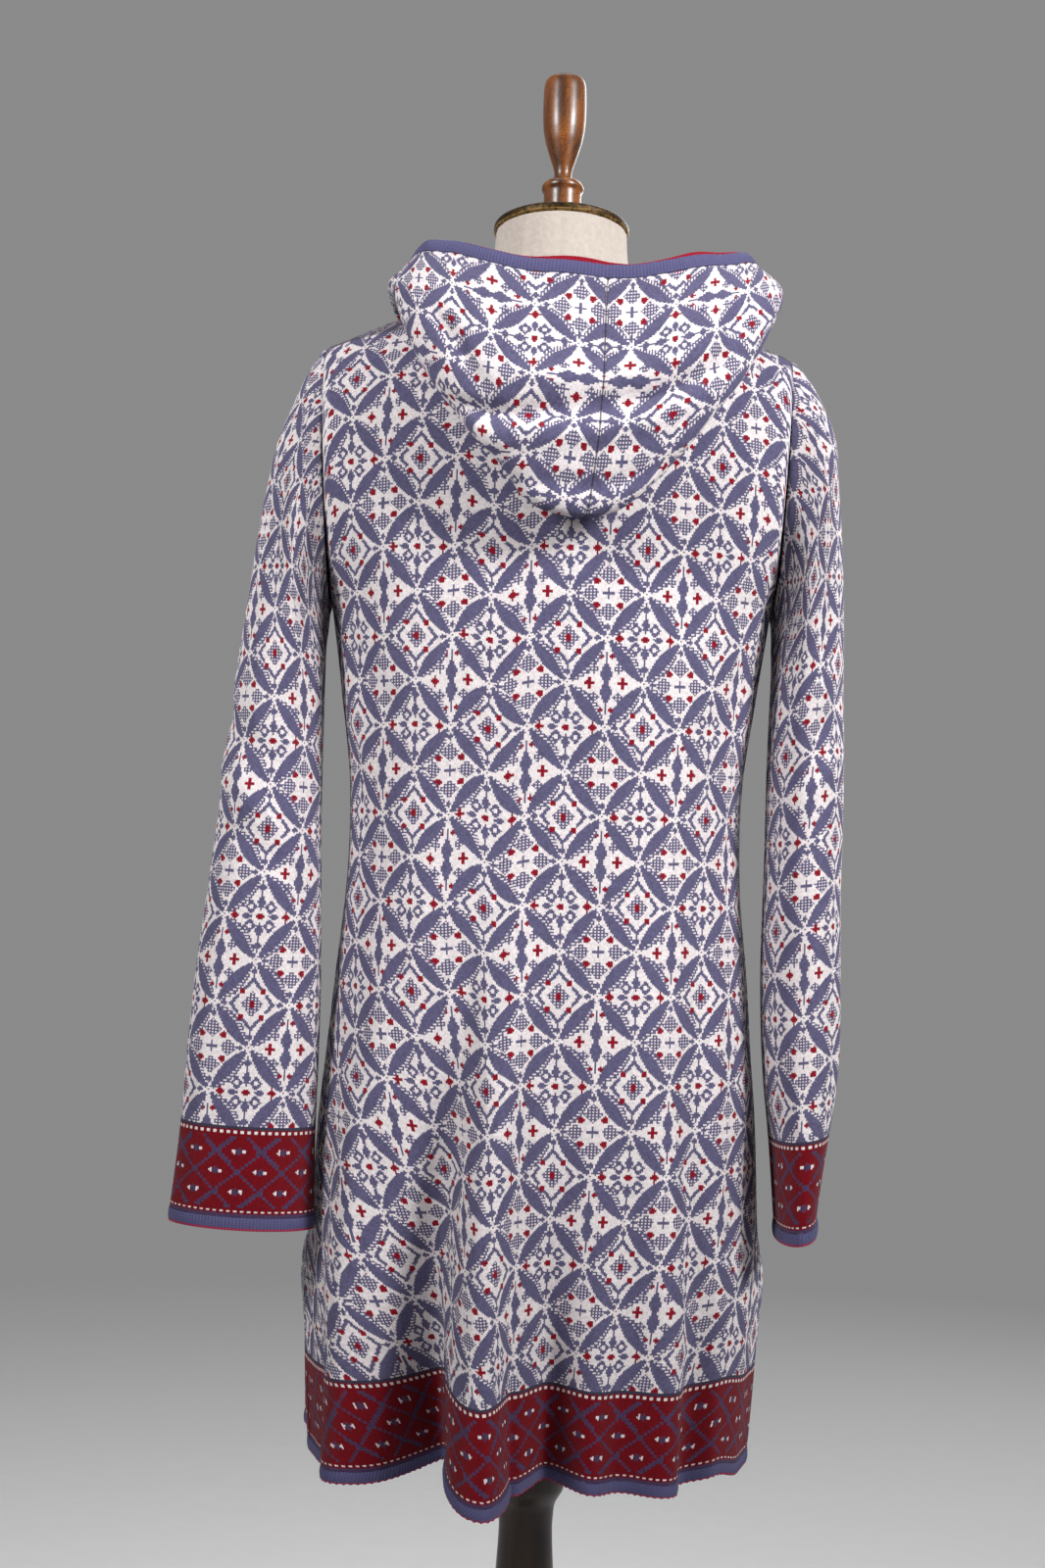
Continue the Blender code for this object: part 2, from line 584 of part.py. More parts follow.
def neck_columns(side):
    """The panels' neckline on one side, from the centre back to the front band: turn, point, way up, normal.

    The turn is the angle round the neck. Wide steps are halved on the panel's own straight edge.
    """
    columns = []
    for low, high, count in panel_spans():
        for angle in spread_angles(low, high, count):
            share = abs(math.sin(math.radians(angle))) ** (2 / SECTION_POWER) / neck_share()
            if angle * side < -1e-9 or share > 1 + 1e-6:
                continue
            turn = math.degrees(math.asin(min(share, 1.0)))
            turn = 180 - turn if abs(angle) > 90 else turn
            columns.append((turn, body_point(angle, 1.0), body_normal(angle, 1.0)))
    columns.sort(key=lambda column: column[0])
    columns = [c for c, after in zip(columns, columns[1:]) if after[0] - c[0] > 1] + columns[-1:]
    ways_up = []
    for i, (_, _, normal) in enumerate(columns):
        along = columns[min(i + 1, len(columns) - 1)][1] - columns[max(i - 1, 0)][1]
        up = along.cross(normal).normalized()
        ways_up.append(up if up.z > 0 else -up)
    columns = [(turn, point, up, normal) for (turn, point, normal), up in zip(columns, ways_up)]
    halved = []
    for column, after in zip(columns, columns[1:]):
        halved.append(column)
        parts = math.ceil((after[0] - column[0]) / HOOD_STEP)
        for k in range(1, parts):
            share = k / parts
            turn = column[0] + (after[0] - column[0]) * share
            halved.append((turn, *(a.lerp(b, share) for a, b in zip(column[1:], after[1:]))))
    return halved + [columns[-1]]


def hood_section(table, turn, neck, up):
    """From the neckline up, over and down to the pouch's foot, and up again to the rim."""
    fold = Vector([table_value(table, turn, column) for column in (1, 2, 3)])
    rim = Vector([table_value(table, turn, column) for column in (4, 5, 6)])
    away = Vector((fold.x - neck.x, fold.y - neck.y, 0.0)).normalized()
    start = neck + up * SEAM_GAP * 1.6 + Vector((0.0, 0.0, SEAM_GAP))
    stand = neck + up * HOOD_STAND * HOOD_STAND_LEAN + Vector((0.0, 0.0, HOOD_STAND * HOOD_STAND_RISE))
    inner = clear_of_body(neck.lerp(fold, INNER_SHARE) + away * INNER_PUSH, HOOD_CLEARANCE)
    inner_low = clear_of_body(neck.lerp(fold, INNER_LOW_SHARE), HOOD_CLEARANCE)
    outer_low = fold.lerp(rim, POUCH_LOW_SHARE) + away * POUCH_LOW_DEPTH
    outer = fold.lerp(rim, POUCH_MIDDLE_SHARE) + away * POUCH_DEPTH
    section = curve_through([stand, inner, inner_low, fold, outer_low, outer, rim], HOOD_ROWS - 1)
    return [start, stand] + [clear_of_body(point, HOOD_CLEARANCE) for point in section[1:]]


def hood_side(table, side):
    """One side's sections, from the centre back to the front, each with the neckline's own normal."""
    columns = neck_columns(side)
    return [(hood_section(table, turn, point, up), normal) for turn, point, up, normal in columns]


def hood_columns():
    """The hood's points and normals from the left front to the right, and which column is the centre."""
    left, right = hood_side(LEFT_HOOD, -1.0), hood_side(RIGHT_HOOD, 1.0)
    columns = left[:0:-1] + right
    grid = [points for points, _ in columns]
    found = []
    for i, (points, seam_normal) in enumerate(columns):
        normals = [seam_normal]
        for j in range(1, HOOD_ROWS):
            across = grid[min(i + 1, len(grid) - 1)][j] - grid[max(i - 1, 0)][j]
            along = points[min(j + 1, HOOD_ROWS - 1)] - points[j - 1]
            normals.append(across.cross(along).normalized())
        found.append((points, normals))
    return found, len(left) - 1


def make_hood_half(name, columns, seam_column, side):
    """One half, which stops half a seam's gap short of the centre line."""
    grid = [list(points) for points, _ in columns]
    seam = Vector((side * SEAM_GAP / 2, 0.0, 0.0))
    grid[seam_column] = [point + seam for point in grid[seam_column]]
    wall_object(name, *skins(grid, [normals for _, normals in columns], WALL), "jacquard_knit")


def make_rim_strip(name, finish, starts, height, wall, lift):
    """A strip along the hood's rim. starts is how far above the rim it begins."""
    columns, _ = hood_columns()
    points = []
    for rise in (starts, starts + height):
        points.append([line[-1] + (line[-1] - line[-2]).normalized() * rise for line, _ in columns])
    normals = [[line_normals[-1] for _, line_normals in columns]] * 2
    wall_object(name, *skins(points, normals, wall, lift), finish)


def make_hood():
    columns, centre = hood_columns()
    make_hood_half("hood_right", columns[centre:], 0, 1.0)
    make_hood_half("hood_left", columns[: centre + 1], -1, -1.0)
    make_rim_strip("hood_edge", "blue_knit", SEAM_GAP, TRIM_HEIGHT, EDGE_WALL, TRIM_LIFT)
    under = TRIM_LIFT - EDGE_WALL - 3 * SEAM_GAP
    facing_starts = SEAM_GAP + TRIM_HEIGHT + FACING_SHOWS - FACING_HEIGHT
    make_rim_strip("hood_facing", "red_knit", facing_starts, FACING_HEIGHT, FACING_WALL, under)


def band_point(across, rise):
    """A point of the front at a distance from its centre line."""
    angle = 180.0 - angle_of_share(abs(across) / half_width(rise))
    angle = math.copysign(max(min(angle, 179.6), 90.0), across)
    return Vector((across, *body_point(angle, rise)[1:])), body_normal(math.copysign(179.0, across), rise)


def make_band(name, lift):
    height = ARMPIT_Z - HEM_Z
    rises = [-1 - EDGE_HEIGHT / height] + [rise for rise in body_rises() if rise < BAND_TOP] + [BAND_TOP]
    points, normals = [], []
    for rise in rises:
        places = [band_point(share * BAND_HALF_WIDTH, rise) for share in BAND_SHARES]
        middle = (places[1][1] + places[2][1]).normalized()
        middle.x = 0.0
        points.append([place for place, _ in places])
        normals.append([middle.normalized()] * len(BAND_SHARES))
    wall_object(name, *skins(points, normals, WALL, lift), "blue_knit")


def front_rise(z):
    """The rise at a height of the centre front."""
    if z <= ARMPIT_Z:
        return (z - HEM_Z) / (ARMPIT_Z - HEM_Z) - 1
    lift = (z - ARMPIT_Z) / (NECK_Z - NECK_FRONT_DROP - ARMPIT_Z)
    return math.acos(1 - 2 * lift) / math.pi


def make_closing():
    """The left front's band lies between the panels, and the right front's band is buttoned over it."""
    make_band("front_band_left", 0.0)
    make_band("front_band_right", WALL + SEAM_GAP)
    for index in range(BUTTON_COUNT):
        rise = front_rise(TOP_BUTTON_Z + (LOW_BUTTON_Z - TOP_BUTTON_Z) * index / (BUTTON_COUNT - 1))
        left, right = band_point(-BUTTON_SPAN, rise), band_point(BUTTON_SPAN, rise)
        normal = (left[1] + right[1]).normalized()
        normal.x = 0.0
        normal.normalize()
        place = (left[0] + right[0]) / 2 + normal * (WALL + BUTTON_STAND)
        bm = bmesh.new()
        bmesh.ops.create_cone(
            bm,
            cap_ends=True,
            segments=BUTTON_SEGMENTS,
            radius1=BUTTON_RADIUS,
            radius2=BUTTON_TOP_RADIUS,
            depth=BUTTON_HEIGHT,
        )
        turn = normal.to_track_quat("Z", "Y").to_matrix().to_4x4()
        shift = Matrix.Translation(place + normal * BUTTON_HEIGHT / 2)
        bmesh.ops.transform(bm, matrix=shift @ turn, verts=bm.verts)
        name = f"button_{index + 1}"
        finish_object(name, mesh_of(bm, name), "button")


def column_share(reach, column):
    """How far out a column of the form lies, as a share of the body's half width."""
    return reach * math.sin(math.pi / 2 * column / FORM_COLUMNS)


def neck_column():
    """The column that runs up to the corner of the neckline."""
    return min(range(1, FORM_COLUMNS), key=lambda k: abs(column_share(PLATE_REACH, k) - neck_share()))


def form_point(angle_sign, at_front, column, rise):
    """A point of the dress form, inside the cloth. Its last column is the edge of the flat side plate."""
    reach = SIDE_REACH + (PLATE_REACH - SIDE_REACH) * smoothstep(PLATE_FROM, PLATE_TO, rise)
    share = column_share(reach, column)
    if column == neck_column():
        share += (neck_share() - share) * smoothstep(0.3, 1.0, rise)
    angle = angle_of_share(share)
    angle = angle_sign * (180.0 - angle if at_front else angle)
    if column == 0:
        angle = 180.0 if at_front else 0.0
    cloth = body_point(angle, rise, False)
    away = smoothstep(0.0, 0.04, abs(cloth.y))
    clearance = RIDGE_CLEARANCE + (table_value(FORM_CLEARANCE, cloth.z, 1) - RIDGE_CLEARANCE) * away
    near_neck = 1 - smoothstep(neck_share(), neck_share() + FORM_NECK_SPREAD, share)
    near_neck *= smoothstep(FORM_NECK_FROM, 1.0, rise)
    inward = WALL + clearance + FORM_NECK_CLEARANCE * near_neck
    point = cloth - body_normal(angle, rise, False) * inward
    if rise >= 1 and share >= neck_share() - 1e-9:
        point.y = 0.0
    return point


def form_ring(rise):
    """Round the form at one height, from the centre back over the right side, the front and the left side."""
    back_right = [form_point(1.0, False, k, rise) for k in range(FORM_COLUMNS + 1)]
    front_right = [form_point(1.0, True, k, rise) for k in range(FORM_COLUMNS, -1, -1)]
    front_left = [form_point(-1.0, True, k, rise) for k in range(1, FORM_COLUMNS + 1)]
    back_left = [form_point(-1.0, False, k, rise) for k in range(FORM_COLUMNS, 0, -1)]
    return back_right + front_right + front_left + back_left


def neck_row(torso_edge, share):
    """A ring of the neck, a share of the way from the torso's edge to the tilted cap."""
    ring = []
    for vert in torso_edge:
        base = vert.co
        turn = math.atan2(base.y / NECK_BACK_DEPTH, base.x / NECK_X)
        top = Vector((NECK_TOP_RADIUS * math.cos(turn), NECK_TOP_RADIUS * math.sin(turn), 0.0))
        top.z = NECK_TOP_Z - math.tan(CAP_TILT) * top.y - NECK_TOP_GAP
        place = base.lerp(top, 1 - (1 - share) ** 2)
        place.z = base.z + (top.z - base.z) * share
        ring.append(place)
    return ring


def make_form():
    """The torso, with flat plates at the armholes, and its neck, one closed body."""
    lowest = (FORM_BOTTOM_Z - HEM_Z) / (ARMPIT_Z - HEM_Z) - 1
    rises = [lowest * (1 - i / FORM_ROWS_LOW) for i in range(FORM_ROWS_LOW)]
    rises += [i / FORM_ROWS_HIGH for i in range(FORM_ROWS_HIGH + 1)]
    bm = bmesh.new()
    rings = [[bm.verts.new(point) for point in form_ring(rise)] for rise in rises]
    for vert in rings[0]:
        vert.co.z = FORM_BOTTOM_Z
    add_grid(bm, rings, True, rings)
    bm.faces.new(rings[0])
    bmesh.ops.remove_doubles(bm, verts=bm.verts, dist=1e-5)
    neck = [neck_loop(bm)]
    for row in range(1, NECK_ROWS + 1):
        neck.append([bm.verts.new(place) for place in neck_row(neck[0], row / NECK_ROWS)])
    add_grid(bm, neck, True, neck)
    bm.faces.new(neck[-1])
    finish_object("dress_form", mesh_of(bm, "dress_form"), "linen")


def neck_loop(bm):
    """The open neck of the torso as one ordered ring of vertices."""
    edges = {edge for edge in bm.edges if len(edge.link_faces) == 1}
    start = max((vert for edge in edges for vert in edge.verts), key=lambda vert: vert.co.x)
    ring, vert, last = [start], start, None
    while True:
        edge = next(e for e in vert.link_edges if e in edges and e is not last)
        vert, last = edge.other_vert(vert), edge
        if vert is start:
            return ring
        ring.append(vert)


def turned(name, profile, finish, place=(0.0, 0.0, 0.0), tilt=0.0):
    """A turned piece: its profile, top to bottom down the outer side, swept round its axis."""
    mesh = bpy.data.meshes.new(name)
    edges = [(i, i + 1) for i in range(len(profile) - 1)]
    mesh.from_pydata([(radius, 0.0, z) for radius, z in profile], edges, [])
    item = finish_object(name, mesh, finish)
    item.location = place
    item.rotation_euler = (tilt, 0.0, 0.0)
    sweep = item.modifiers.new("sweep", "SCREW")
    sweep.steps = TURNED_STEPS
    sweep.render_steps = TURNED_STEPS
    sweep.use_merge_vertices = True
    sweep.merge_threshold = 1e-5
    sweep.use_smooth_shade = True


def make_stand():
    cap_place = (0.0, 0.0, NECK_TOP_Z)
    turned("neck_cap", CAP_PROFILE, "antique_brass", cap_place, -CAP_TILT)
    turned("finial", FINIAL_PROFILE, "brown_wood", cap_place, -CAP_TILT)
    turned("stand_post", POST_PROFILE, "dark_wood")
    turned("stand_base", BASE_PROFILE, "dark_wood")


for leftover in list(bpy.data.objects):
    bpy.data.objects.remove(leftover)
PARTS = bpy.data.collections.new(COLLECTION)
bpy.context.scene.collection.children.link(PARTS)
MATERIALS = {finish: new_material(finish) for finish in FINISHES}

make_body()
make_hem_edge()
make_sleeve("sleeve_right", "cuff_edge_right", RIGHT_SLEEVE, 1.0)
make_sleeve("sleeve_left", "cuff_edge_left", LEFT_SLEEVE, -1.0)
make_hood()
make_closing()
make_form()
make_stand()
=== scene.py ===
"""Looks of the hooded knit cardigan on its dress form: cloth shells, knitted trims and every finish.

Metres, +Z up. The garment's back faces -Y and +X is the wearer's right, as in the frame.
The cloth shells follow the same forms as the solids, more finely, with the smaller creases added.
"""

import json
import math
from functools import partialmethod

import bmesh
import bpy
import numpy as np
from mathutils import Matrix, Vector

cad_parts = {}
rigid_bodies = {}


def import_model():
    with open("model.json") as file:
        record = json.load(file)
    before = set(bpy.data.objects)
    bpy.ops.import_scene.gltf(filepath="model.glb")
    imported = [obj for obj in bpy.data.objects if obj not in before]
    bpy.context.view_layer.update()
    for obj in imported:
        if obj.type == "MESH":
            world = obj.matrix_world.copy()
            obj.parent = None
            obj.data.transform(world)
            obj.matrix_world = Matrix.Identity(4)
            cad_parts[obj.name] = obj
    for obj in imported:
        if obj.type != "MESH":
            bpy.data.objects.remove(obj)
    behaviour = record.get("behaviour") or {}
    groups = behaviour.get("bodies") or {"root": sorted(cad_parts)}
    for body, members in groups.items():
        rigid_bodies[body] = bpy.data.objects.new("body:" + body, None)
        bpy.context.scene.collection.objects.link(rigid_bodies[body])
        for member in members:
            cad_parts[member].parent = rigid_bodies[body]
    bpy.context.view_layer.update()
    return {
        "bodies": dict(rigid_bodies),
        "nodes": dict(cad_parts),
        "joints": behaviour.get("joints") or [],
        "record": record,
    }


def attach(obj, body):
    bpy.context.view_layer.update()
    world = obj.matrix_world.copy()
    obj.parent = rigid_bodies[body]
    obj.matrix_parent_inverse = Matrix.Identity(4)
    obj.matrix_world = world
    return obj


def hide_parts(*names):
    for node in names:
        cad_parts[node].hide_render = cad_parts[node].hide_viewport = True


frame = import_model()

# Cloth and body, as in the solids
WALL, SEAM_GAP, EDGE_WALL, EDGE_HEIGHT, TRIM_LIFT = 0.0022, 0.0003, 0.0032, 0.010, 0.0005
HEM_Z = 0.517
ARMPIT_X, ARMPIT_Z = 0.176, 1.190
SHOULDER_X, SHOULDER_Z = 0.187, 1.392
ARMHOLE_HALF_DEPTH = 0.062
NECK_X, NECK_Z = 0.074, 1.440
NECK_BACK_DEPTH, NECK_BACK_DROP = 0.066, 0.012
NECK_FRONT_DEPTH, NECK_FRONT_DROP = 0.083, 0.068
SECTION_POWER, ARCH_POWER = 2.2, 3.0


def metres(rows, angles=0):
    """A table written in millimetres, of which the first columns may be angles in degrees."""
    return tuple(row[:angles] + tuple(value / 1000 for value in row[angles:]) for row in rows)


# Cross-sections of the body: height, half width, back depth, front depth, extra width of the front's sides
BODY_SECTIONS = metres((
    (500, 170, 121, 160, 29),
    (580, 175, 121, 156, 29),
    (665, 178, 121, 150, 27),
    (700, 177, 120, 147, 13),
    (790, 173, 118, 138, 8),
    (885, 164, 113, 128, 4),
    (980, 157, 108, 120, 0),
    (1045, 157, 108, 118, 0),
    (1120, 166, 112, 121, 0),
    (1190, 176, 115, 122, 0),
))
FLARE_ANGLE, FLARE_HALF_ANGLE = 122.0, 44.0
FOLD_GROWTH = 1.35
# The deep fold leans over its own steep flank towards the hem
FOLD_LEAN, FOLD_LEAN_ANGLE, FOLD_LEAN_TOP = 0.013, -8.5, 0.800
# Where the hem is drawn up beside the folds: angle, half angle on each side, rise at the hem
HEM_RISES = metres(((-19, 26, 6.5, 15), (3, 6, 16, 5), (-10.5, 4.5, 5.5, -4), (58, 14, 16, 6)), 3)

# Folds of the skirt: angle at the hem, angle at the top, half angle on each side, top height,
# depth at the hem
BODY_FOLDS = metres((
    (-10.5, -6, 13, 6.5, 1000, 58),
    (-27, -23, 13, 11, 960, -44),
    (4, 3, 7, 10, 930, -30),
    (-52, -49, 17, 16, 980, 24),
    (22, 20, 8, 8, 820, -10),
    (34, 31, 9, 9, 900, 13),
    (46, 43, 9, 10, 880, -14),
    (104, 102, 15, 13, 860, -10),
    (130, 131, 15, 13, 980, 18),
    (152, 154, 12, 12, 900, -14),
    (-106, -103, 14, 16, 840, -10),
    (-127, -129, 14, 15, 960, 16),
    (-148, -150, 12, 12, 940, -15),
    (-166, -166, 9, 10, 860, 10),
), 4)

# Sleeves from the armhole down: outer x and height, inner x and height, half depth, shift in y
LEFT_SLEEVE = metres((
    (187, 1392, 176, 1190, 62, 0),
    (199, 1373, 177.2, 1184, 65, 0),
    (209.5, 1348, 178.2, 1178, 66, -1),
    (220.5, 1318, 178.6, 1170, 66, -3),
    (229, 1275, 178.8, 1160, 64, -6),
    (237, 1228, 178.8, 1146, 60, -10),
    (244, 1175, 178.8, 1122, 55, -14),
    (252, 1105, 178.8, 1075, 50, -18),
    (259, 1035, 178.2, 1015, 46, -23),
    (266.5, 960, 176.5, 950, 43, -28),
    (274, 885, 174.5, 880, 41, -32),
    (278.5, 825, 174.5, 820, 39, -36),
    (282, 768, 175, 764, 37, -40),
    (287, 708, 173.5, 704, 36, -44),
))
RIGHT_SLEEVE = metres((
    (187, 1392, 176, 1190, 62, 0),
    (200, 1379, 177.2, 1184, 65, 0),
    (212.5, 1358, 178, 1178, 67, -1),
    (223, 1334, 178.4, 1170, 68, -2),
    (227.5, 1290, 178.4, 1160, 68, -4),
    (231, 1240, 178.2, 1146, 66, -6),
    (234, 1180, 177.8, 1122, 64, -9),
    (235.5, 1110, 176.8, 1075, 62, -12),
    (236.2, 1040, 175.6, 1015, 60, -15),
    (236.8, 965, 175, 950, 59, -18),
    (237, 895, 175.8, 880, 59, -21),
    (235, 830, 179, 820, 61, -24),
    (230, 772, 185.5, 764, 63, -26),
    (222.5, 712, 191, 704, 64, -28),
))

# Hood, from the centre back to the front: turn round the neck, the pouch's fold (x, y, z), the rim (x, y, z)
RIGHT_HOOD = metres((
    (0, 21, -147, 1243, 35, -128, 1430),
    (16, 52, -148, 1254, 56, -127, 1431),
    (32, 86, -144, 1290, 82, -122, 1437),
    (48, 114, -133, 1328, 106, -112, 1444),
    (62, 139, -112, 1364, 127, -96, 1449),
    (76, 152, -84, 1398, 147, -74, 1456),
    (90, 157, -46, 1421, 155, -42, 1459),
    (110, 146, 12, 1427, 141, 6, 1453),
    (132, 119, 66, 1405, 108, 52, 1434),
    (154, 68, 107, 1372, 63, 90, 1408),
    (176.5, 8, 124, 1345, 8, 104, 1378),
), 1)
LEFT_HOOD = metres((
    (0, 21, -147, 1243, 35, -128, 1430),
    (16, -18, -149, 1254, 4, -129, 1433),
    (32, -44, -146, 1284, -26, -130, 1434),
    (48, -72, -138, 1318, -56, -124, 1441),
    (62, -96, -120, 1350, -82, -108, 1450),
    (76, -112, -92, 1385, -107, -86, 1455),
    (90, -119, -52, 1418, -119, -52, 1454),
    (110, -118, 10, 1432, -119, 4, 1454),
    (132, -108, 68, 1410, -99, 56, 1440),
    (154, -62, 106, 1372, -57, 89, 1407),
    (176.5, -8, 124, 1345, -8, 104, 1378),
), 1)
HOOD_STAND, HOOD_STAND_LEAN, HOOD_STAND_RISE, HOOD_CLEARANCE = 0.019, 0.25, 0.8, 0.006
INNER_SHARE, INNER_LOW_SHARE, INNER_PUSH = 0.55, 0.86, 0.004
POUCH_DEPTH, POUCH_LOW_SHARE, POUCH_LOW_DEPTH, POUCH_MIDDLE_SHARE = 0.020, 0.10, 0.016, 0.50
TRIM_HEIGHT, FACING_HEIGHT, FACING_SHOWS, FACING_WALL = 0.011, 0.0135, 0.003, 0.0012

BAND_HALF_WIDTH, BAND_TOP = 0.0145, 0.960
BUTTON_COUNT, BUTTON_STAND = 6, 0.00078
TOP_BUTTON_Z, LOW_BUTTON_Z = 1.320, 0.790

# Creases, each a soft stroke on the cloth: from (across, up) to (across, up), half width, height, bow
# Across is measured from the centre back, positive to the wearer's right; up is measured from the hem's edge
BACK_CREASES = metres((
    (-20, 520, -6, 300, 16, 2.2, 6),
    (18, 600, 28, 330, 18, -1.8, -5),
    (-62, 460, -50, 200, 14, -2.2, 4),
    (-96, 500, -104, 220, 15, 2, -6),
    (82, 440, 92, 160, 15, 2, 6),
    (122, 500, 128, 120, 13, -2.4, -4),
    (152, 420, 150, 100, 12, 1.8, 4),
    (-182, 655, -110, 575, 13, -2.2, 8),
    (-186, 620, -128, 520, 11, 1.8, 6),
    (-178, 560, -140, 455, 12, -1.6, 4),
    (184, 650, 116, 560, 13, -2.2, -8),
    (188, 610, 136, 500, 11, 1.8, -5),
    (176, 530, 146, 430, 12, -1.5, -4),
    (-120, 800, -60, 700, 22, -1.8, 10),
    (130, 790, 70, 690, 22, -1.8, -10),
    (-150, 380, -170, 100, 14, -2.2, 4),
    (50, 300, 62, 60, 11, -1.8, 3),
    (-128, 170, -120, 20, 12, 2.2, 2),
))
FRONT_CREASES = metres((
    (315, 620, 265, 530, 12, -1.8, 6),
    (325, 570, 272, 470, 11, 1.6, 5),
    (250, 500, 262, 200, 15, 1.8, 6),
    (292, 440, 305, 100, 14, -2, -5),
    (340, 400, 352, 140, 14, 1.6, 4),
    (365, 330, 372, 60, 12, -1.6, 3),
    (262, 800, 300, 700, 18, -1.6, 8),
    (345, 780, 330, 620, 16, 1.2, -6),
))
# On a sleeve, across is measured round it from its outermost line towards the front, up from its cuff
LEFT_SLEEVE_CREASES = metres((
    (30, 400, -90, 330, 13, -3, 14),
    (20, 360, -100, 280, 11, 2.2, 12),
    (-10, 310, -115, 250, 10, -1.8, 8),
    (-60, 620, -75, 440, 16, -2.4, 6),
    (-30, 600, -40, 420, 14, 1.8, -4),
    (-85, 240, -70, 60, 13, -2, 4),
    (-40, 220, -34, 30, 14, 1.8, -4),
    (60, 550, 50, 360, 15, -2, 5),
    (90, 340, 30, 250, 12, -2, -8),
    (75, 220, 68, 50, 13, 1.6, 4),
))
RIGHT_SLEEVE_CREASES = metres((
    (-15, 420, -110, 340, 13, -2.6, 12),
    (-20, 370, -120, 300, 11, 2, 10),
    (-50, 600, -66, 420, 15, -2.2, 6),
    (-85, 270, -70, 80, 13, -1.8, 4),
    (-45, 240, -30, 50, 12, 1.8, -5),
    (40, 500, 52, 300, 15, -2, 6),
    (95, 360, 30, 270, 12, -1.8, -8),
    (85, 240, 80, 50, 13, 1.6, 4),
))
# On the hood, across is measured from its centre seam and down is measured from its rim
HOOD_CREASES = metres((
    (-128, 122, 4, 104, 7, -9.8, -4),
    (-4, 104, 100, 82, 7, -8.8, -3),
    (-120, 142, 110, 100, 10, 6, -6),
    (-110, 90, 90, 68, 12, 5.2, -6),
    (-70, 168, 70, 146, 8, -5.2, -8),
    (-150, 50, -80, 120, 8, -4.8, 6),
    (125, 30, 85, 105, 8, -4.6, -6),
    (-40, 20, -55, 85, 12, 1.4, 4),
    (60, 20, 50, 80, 12, 1.2, -4),
))

# The neck and what stands on it, and the turned post and base: radius and height
NECK_TOP_RADIUS, NECK_TOP_Z, CAP_TILT = 0.0525, 1.4885, math.radians(10.0)
CAP_PROFILE = metres((
    (0, 12.5), (18, 12), (38, 10.5), (50, 8.5),
    (54.2, 6.2), (54.5, 2.2), (52.8, 0), (0, 0),
))
FINIAL_PROFILE = metres((
    (0, 135), (12.5, 134.5), (16, 132), (17.1, 127), (17.5, 112),
    (17.4, 100), (16.7, 90), (14.9, 80), (12.1, 70.5), (9.7, 63),
    (7.9, 57.5), (7, 53), (7.2, 47.5), (15, 44), (16.9, 41),
    (16.9, 38.5), (15, 35.5), (15, 12.8), (0, 12.8),
))
POST_PROFILE = metres((
    (0, 799.7), (21.3, 799.7), (21.3, 545), (26, 535), (31.2, 520),
    (31.8, 496), (30, 482), (22.6, 470), (21.2, 450), (24, 400),
    (27.5, 320), (27, 240), (22, 150), (20, 100), (29, 85),
    (33, 60), (42, 45), (50, 30.3), (0, 30.3),
))
BASE_PROFILE = metres((
    (0, 30), (120, 30), (150, 26), (168, 22),
    (184, 18), (190, 12), (188, 0), (0, 0),
))


def joined(*parts):
    """Arrays brought to one shape and stacked as the coordinates of points."""
    return np.stack(np.broadcast_arrays(*parts), -1)


def unit(vectors):
    return vectors / np.maximum(np.linalg.norm(vectors, axis=-1, keepdims=True), 1e-12)


def smoothstep(low, high, value):
    share = np.clip((value - low) / (high - low), 0.0, 1.0)
    return share * share * (3.0 - 2.0 * share)


def curve_value(keys, values, key):
    """A smooth curve through the values at the keys, read at every key of an array."""
    keys, values = np.asarray(keys, float), np.asarray(values, float)
    key = np.clip(key, keys[0], keys[-1])
    i = np.clip(np.searchsorted(keys, key) - 1, 0, len(keys) - 2)
    slopes = np.gradient(values, keys)
    step = keys[i + 1] - keys[i]
    share = (key - keys[i]) / step
    return (
        values[i] * (2 * share**3 - 3 * share**2 + 1)
        + slopes[i] * step * (share**3 - 2 * share**2 + share)
        + values[i + 1] * (3 * share**2 - 2 * share**3)
        + slopes[i + 1] * step * (share**3 - share**2)
    )


def table_value(rows, key, column):
    return curve_value([row[0] for row in rows], [row[column] for row in rows], key)


def bump(offset, low_half, high_half):
    share = offset / np.where(offset > 0, high_half, low_half)
    return np.where(np.abs(share) >= 1, 0.0, np.cos(np.clip(share, -1, 1) * np.pi / 2) ** 2)


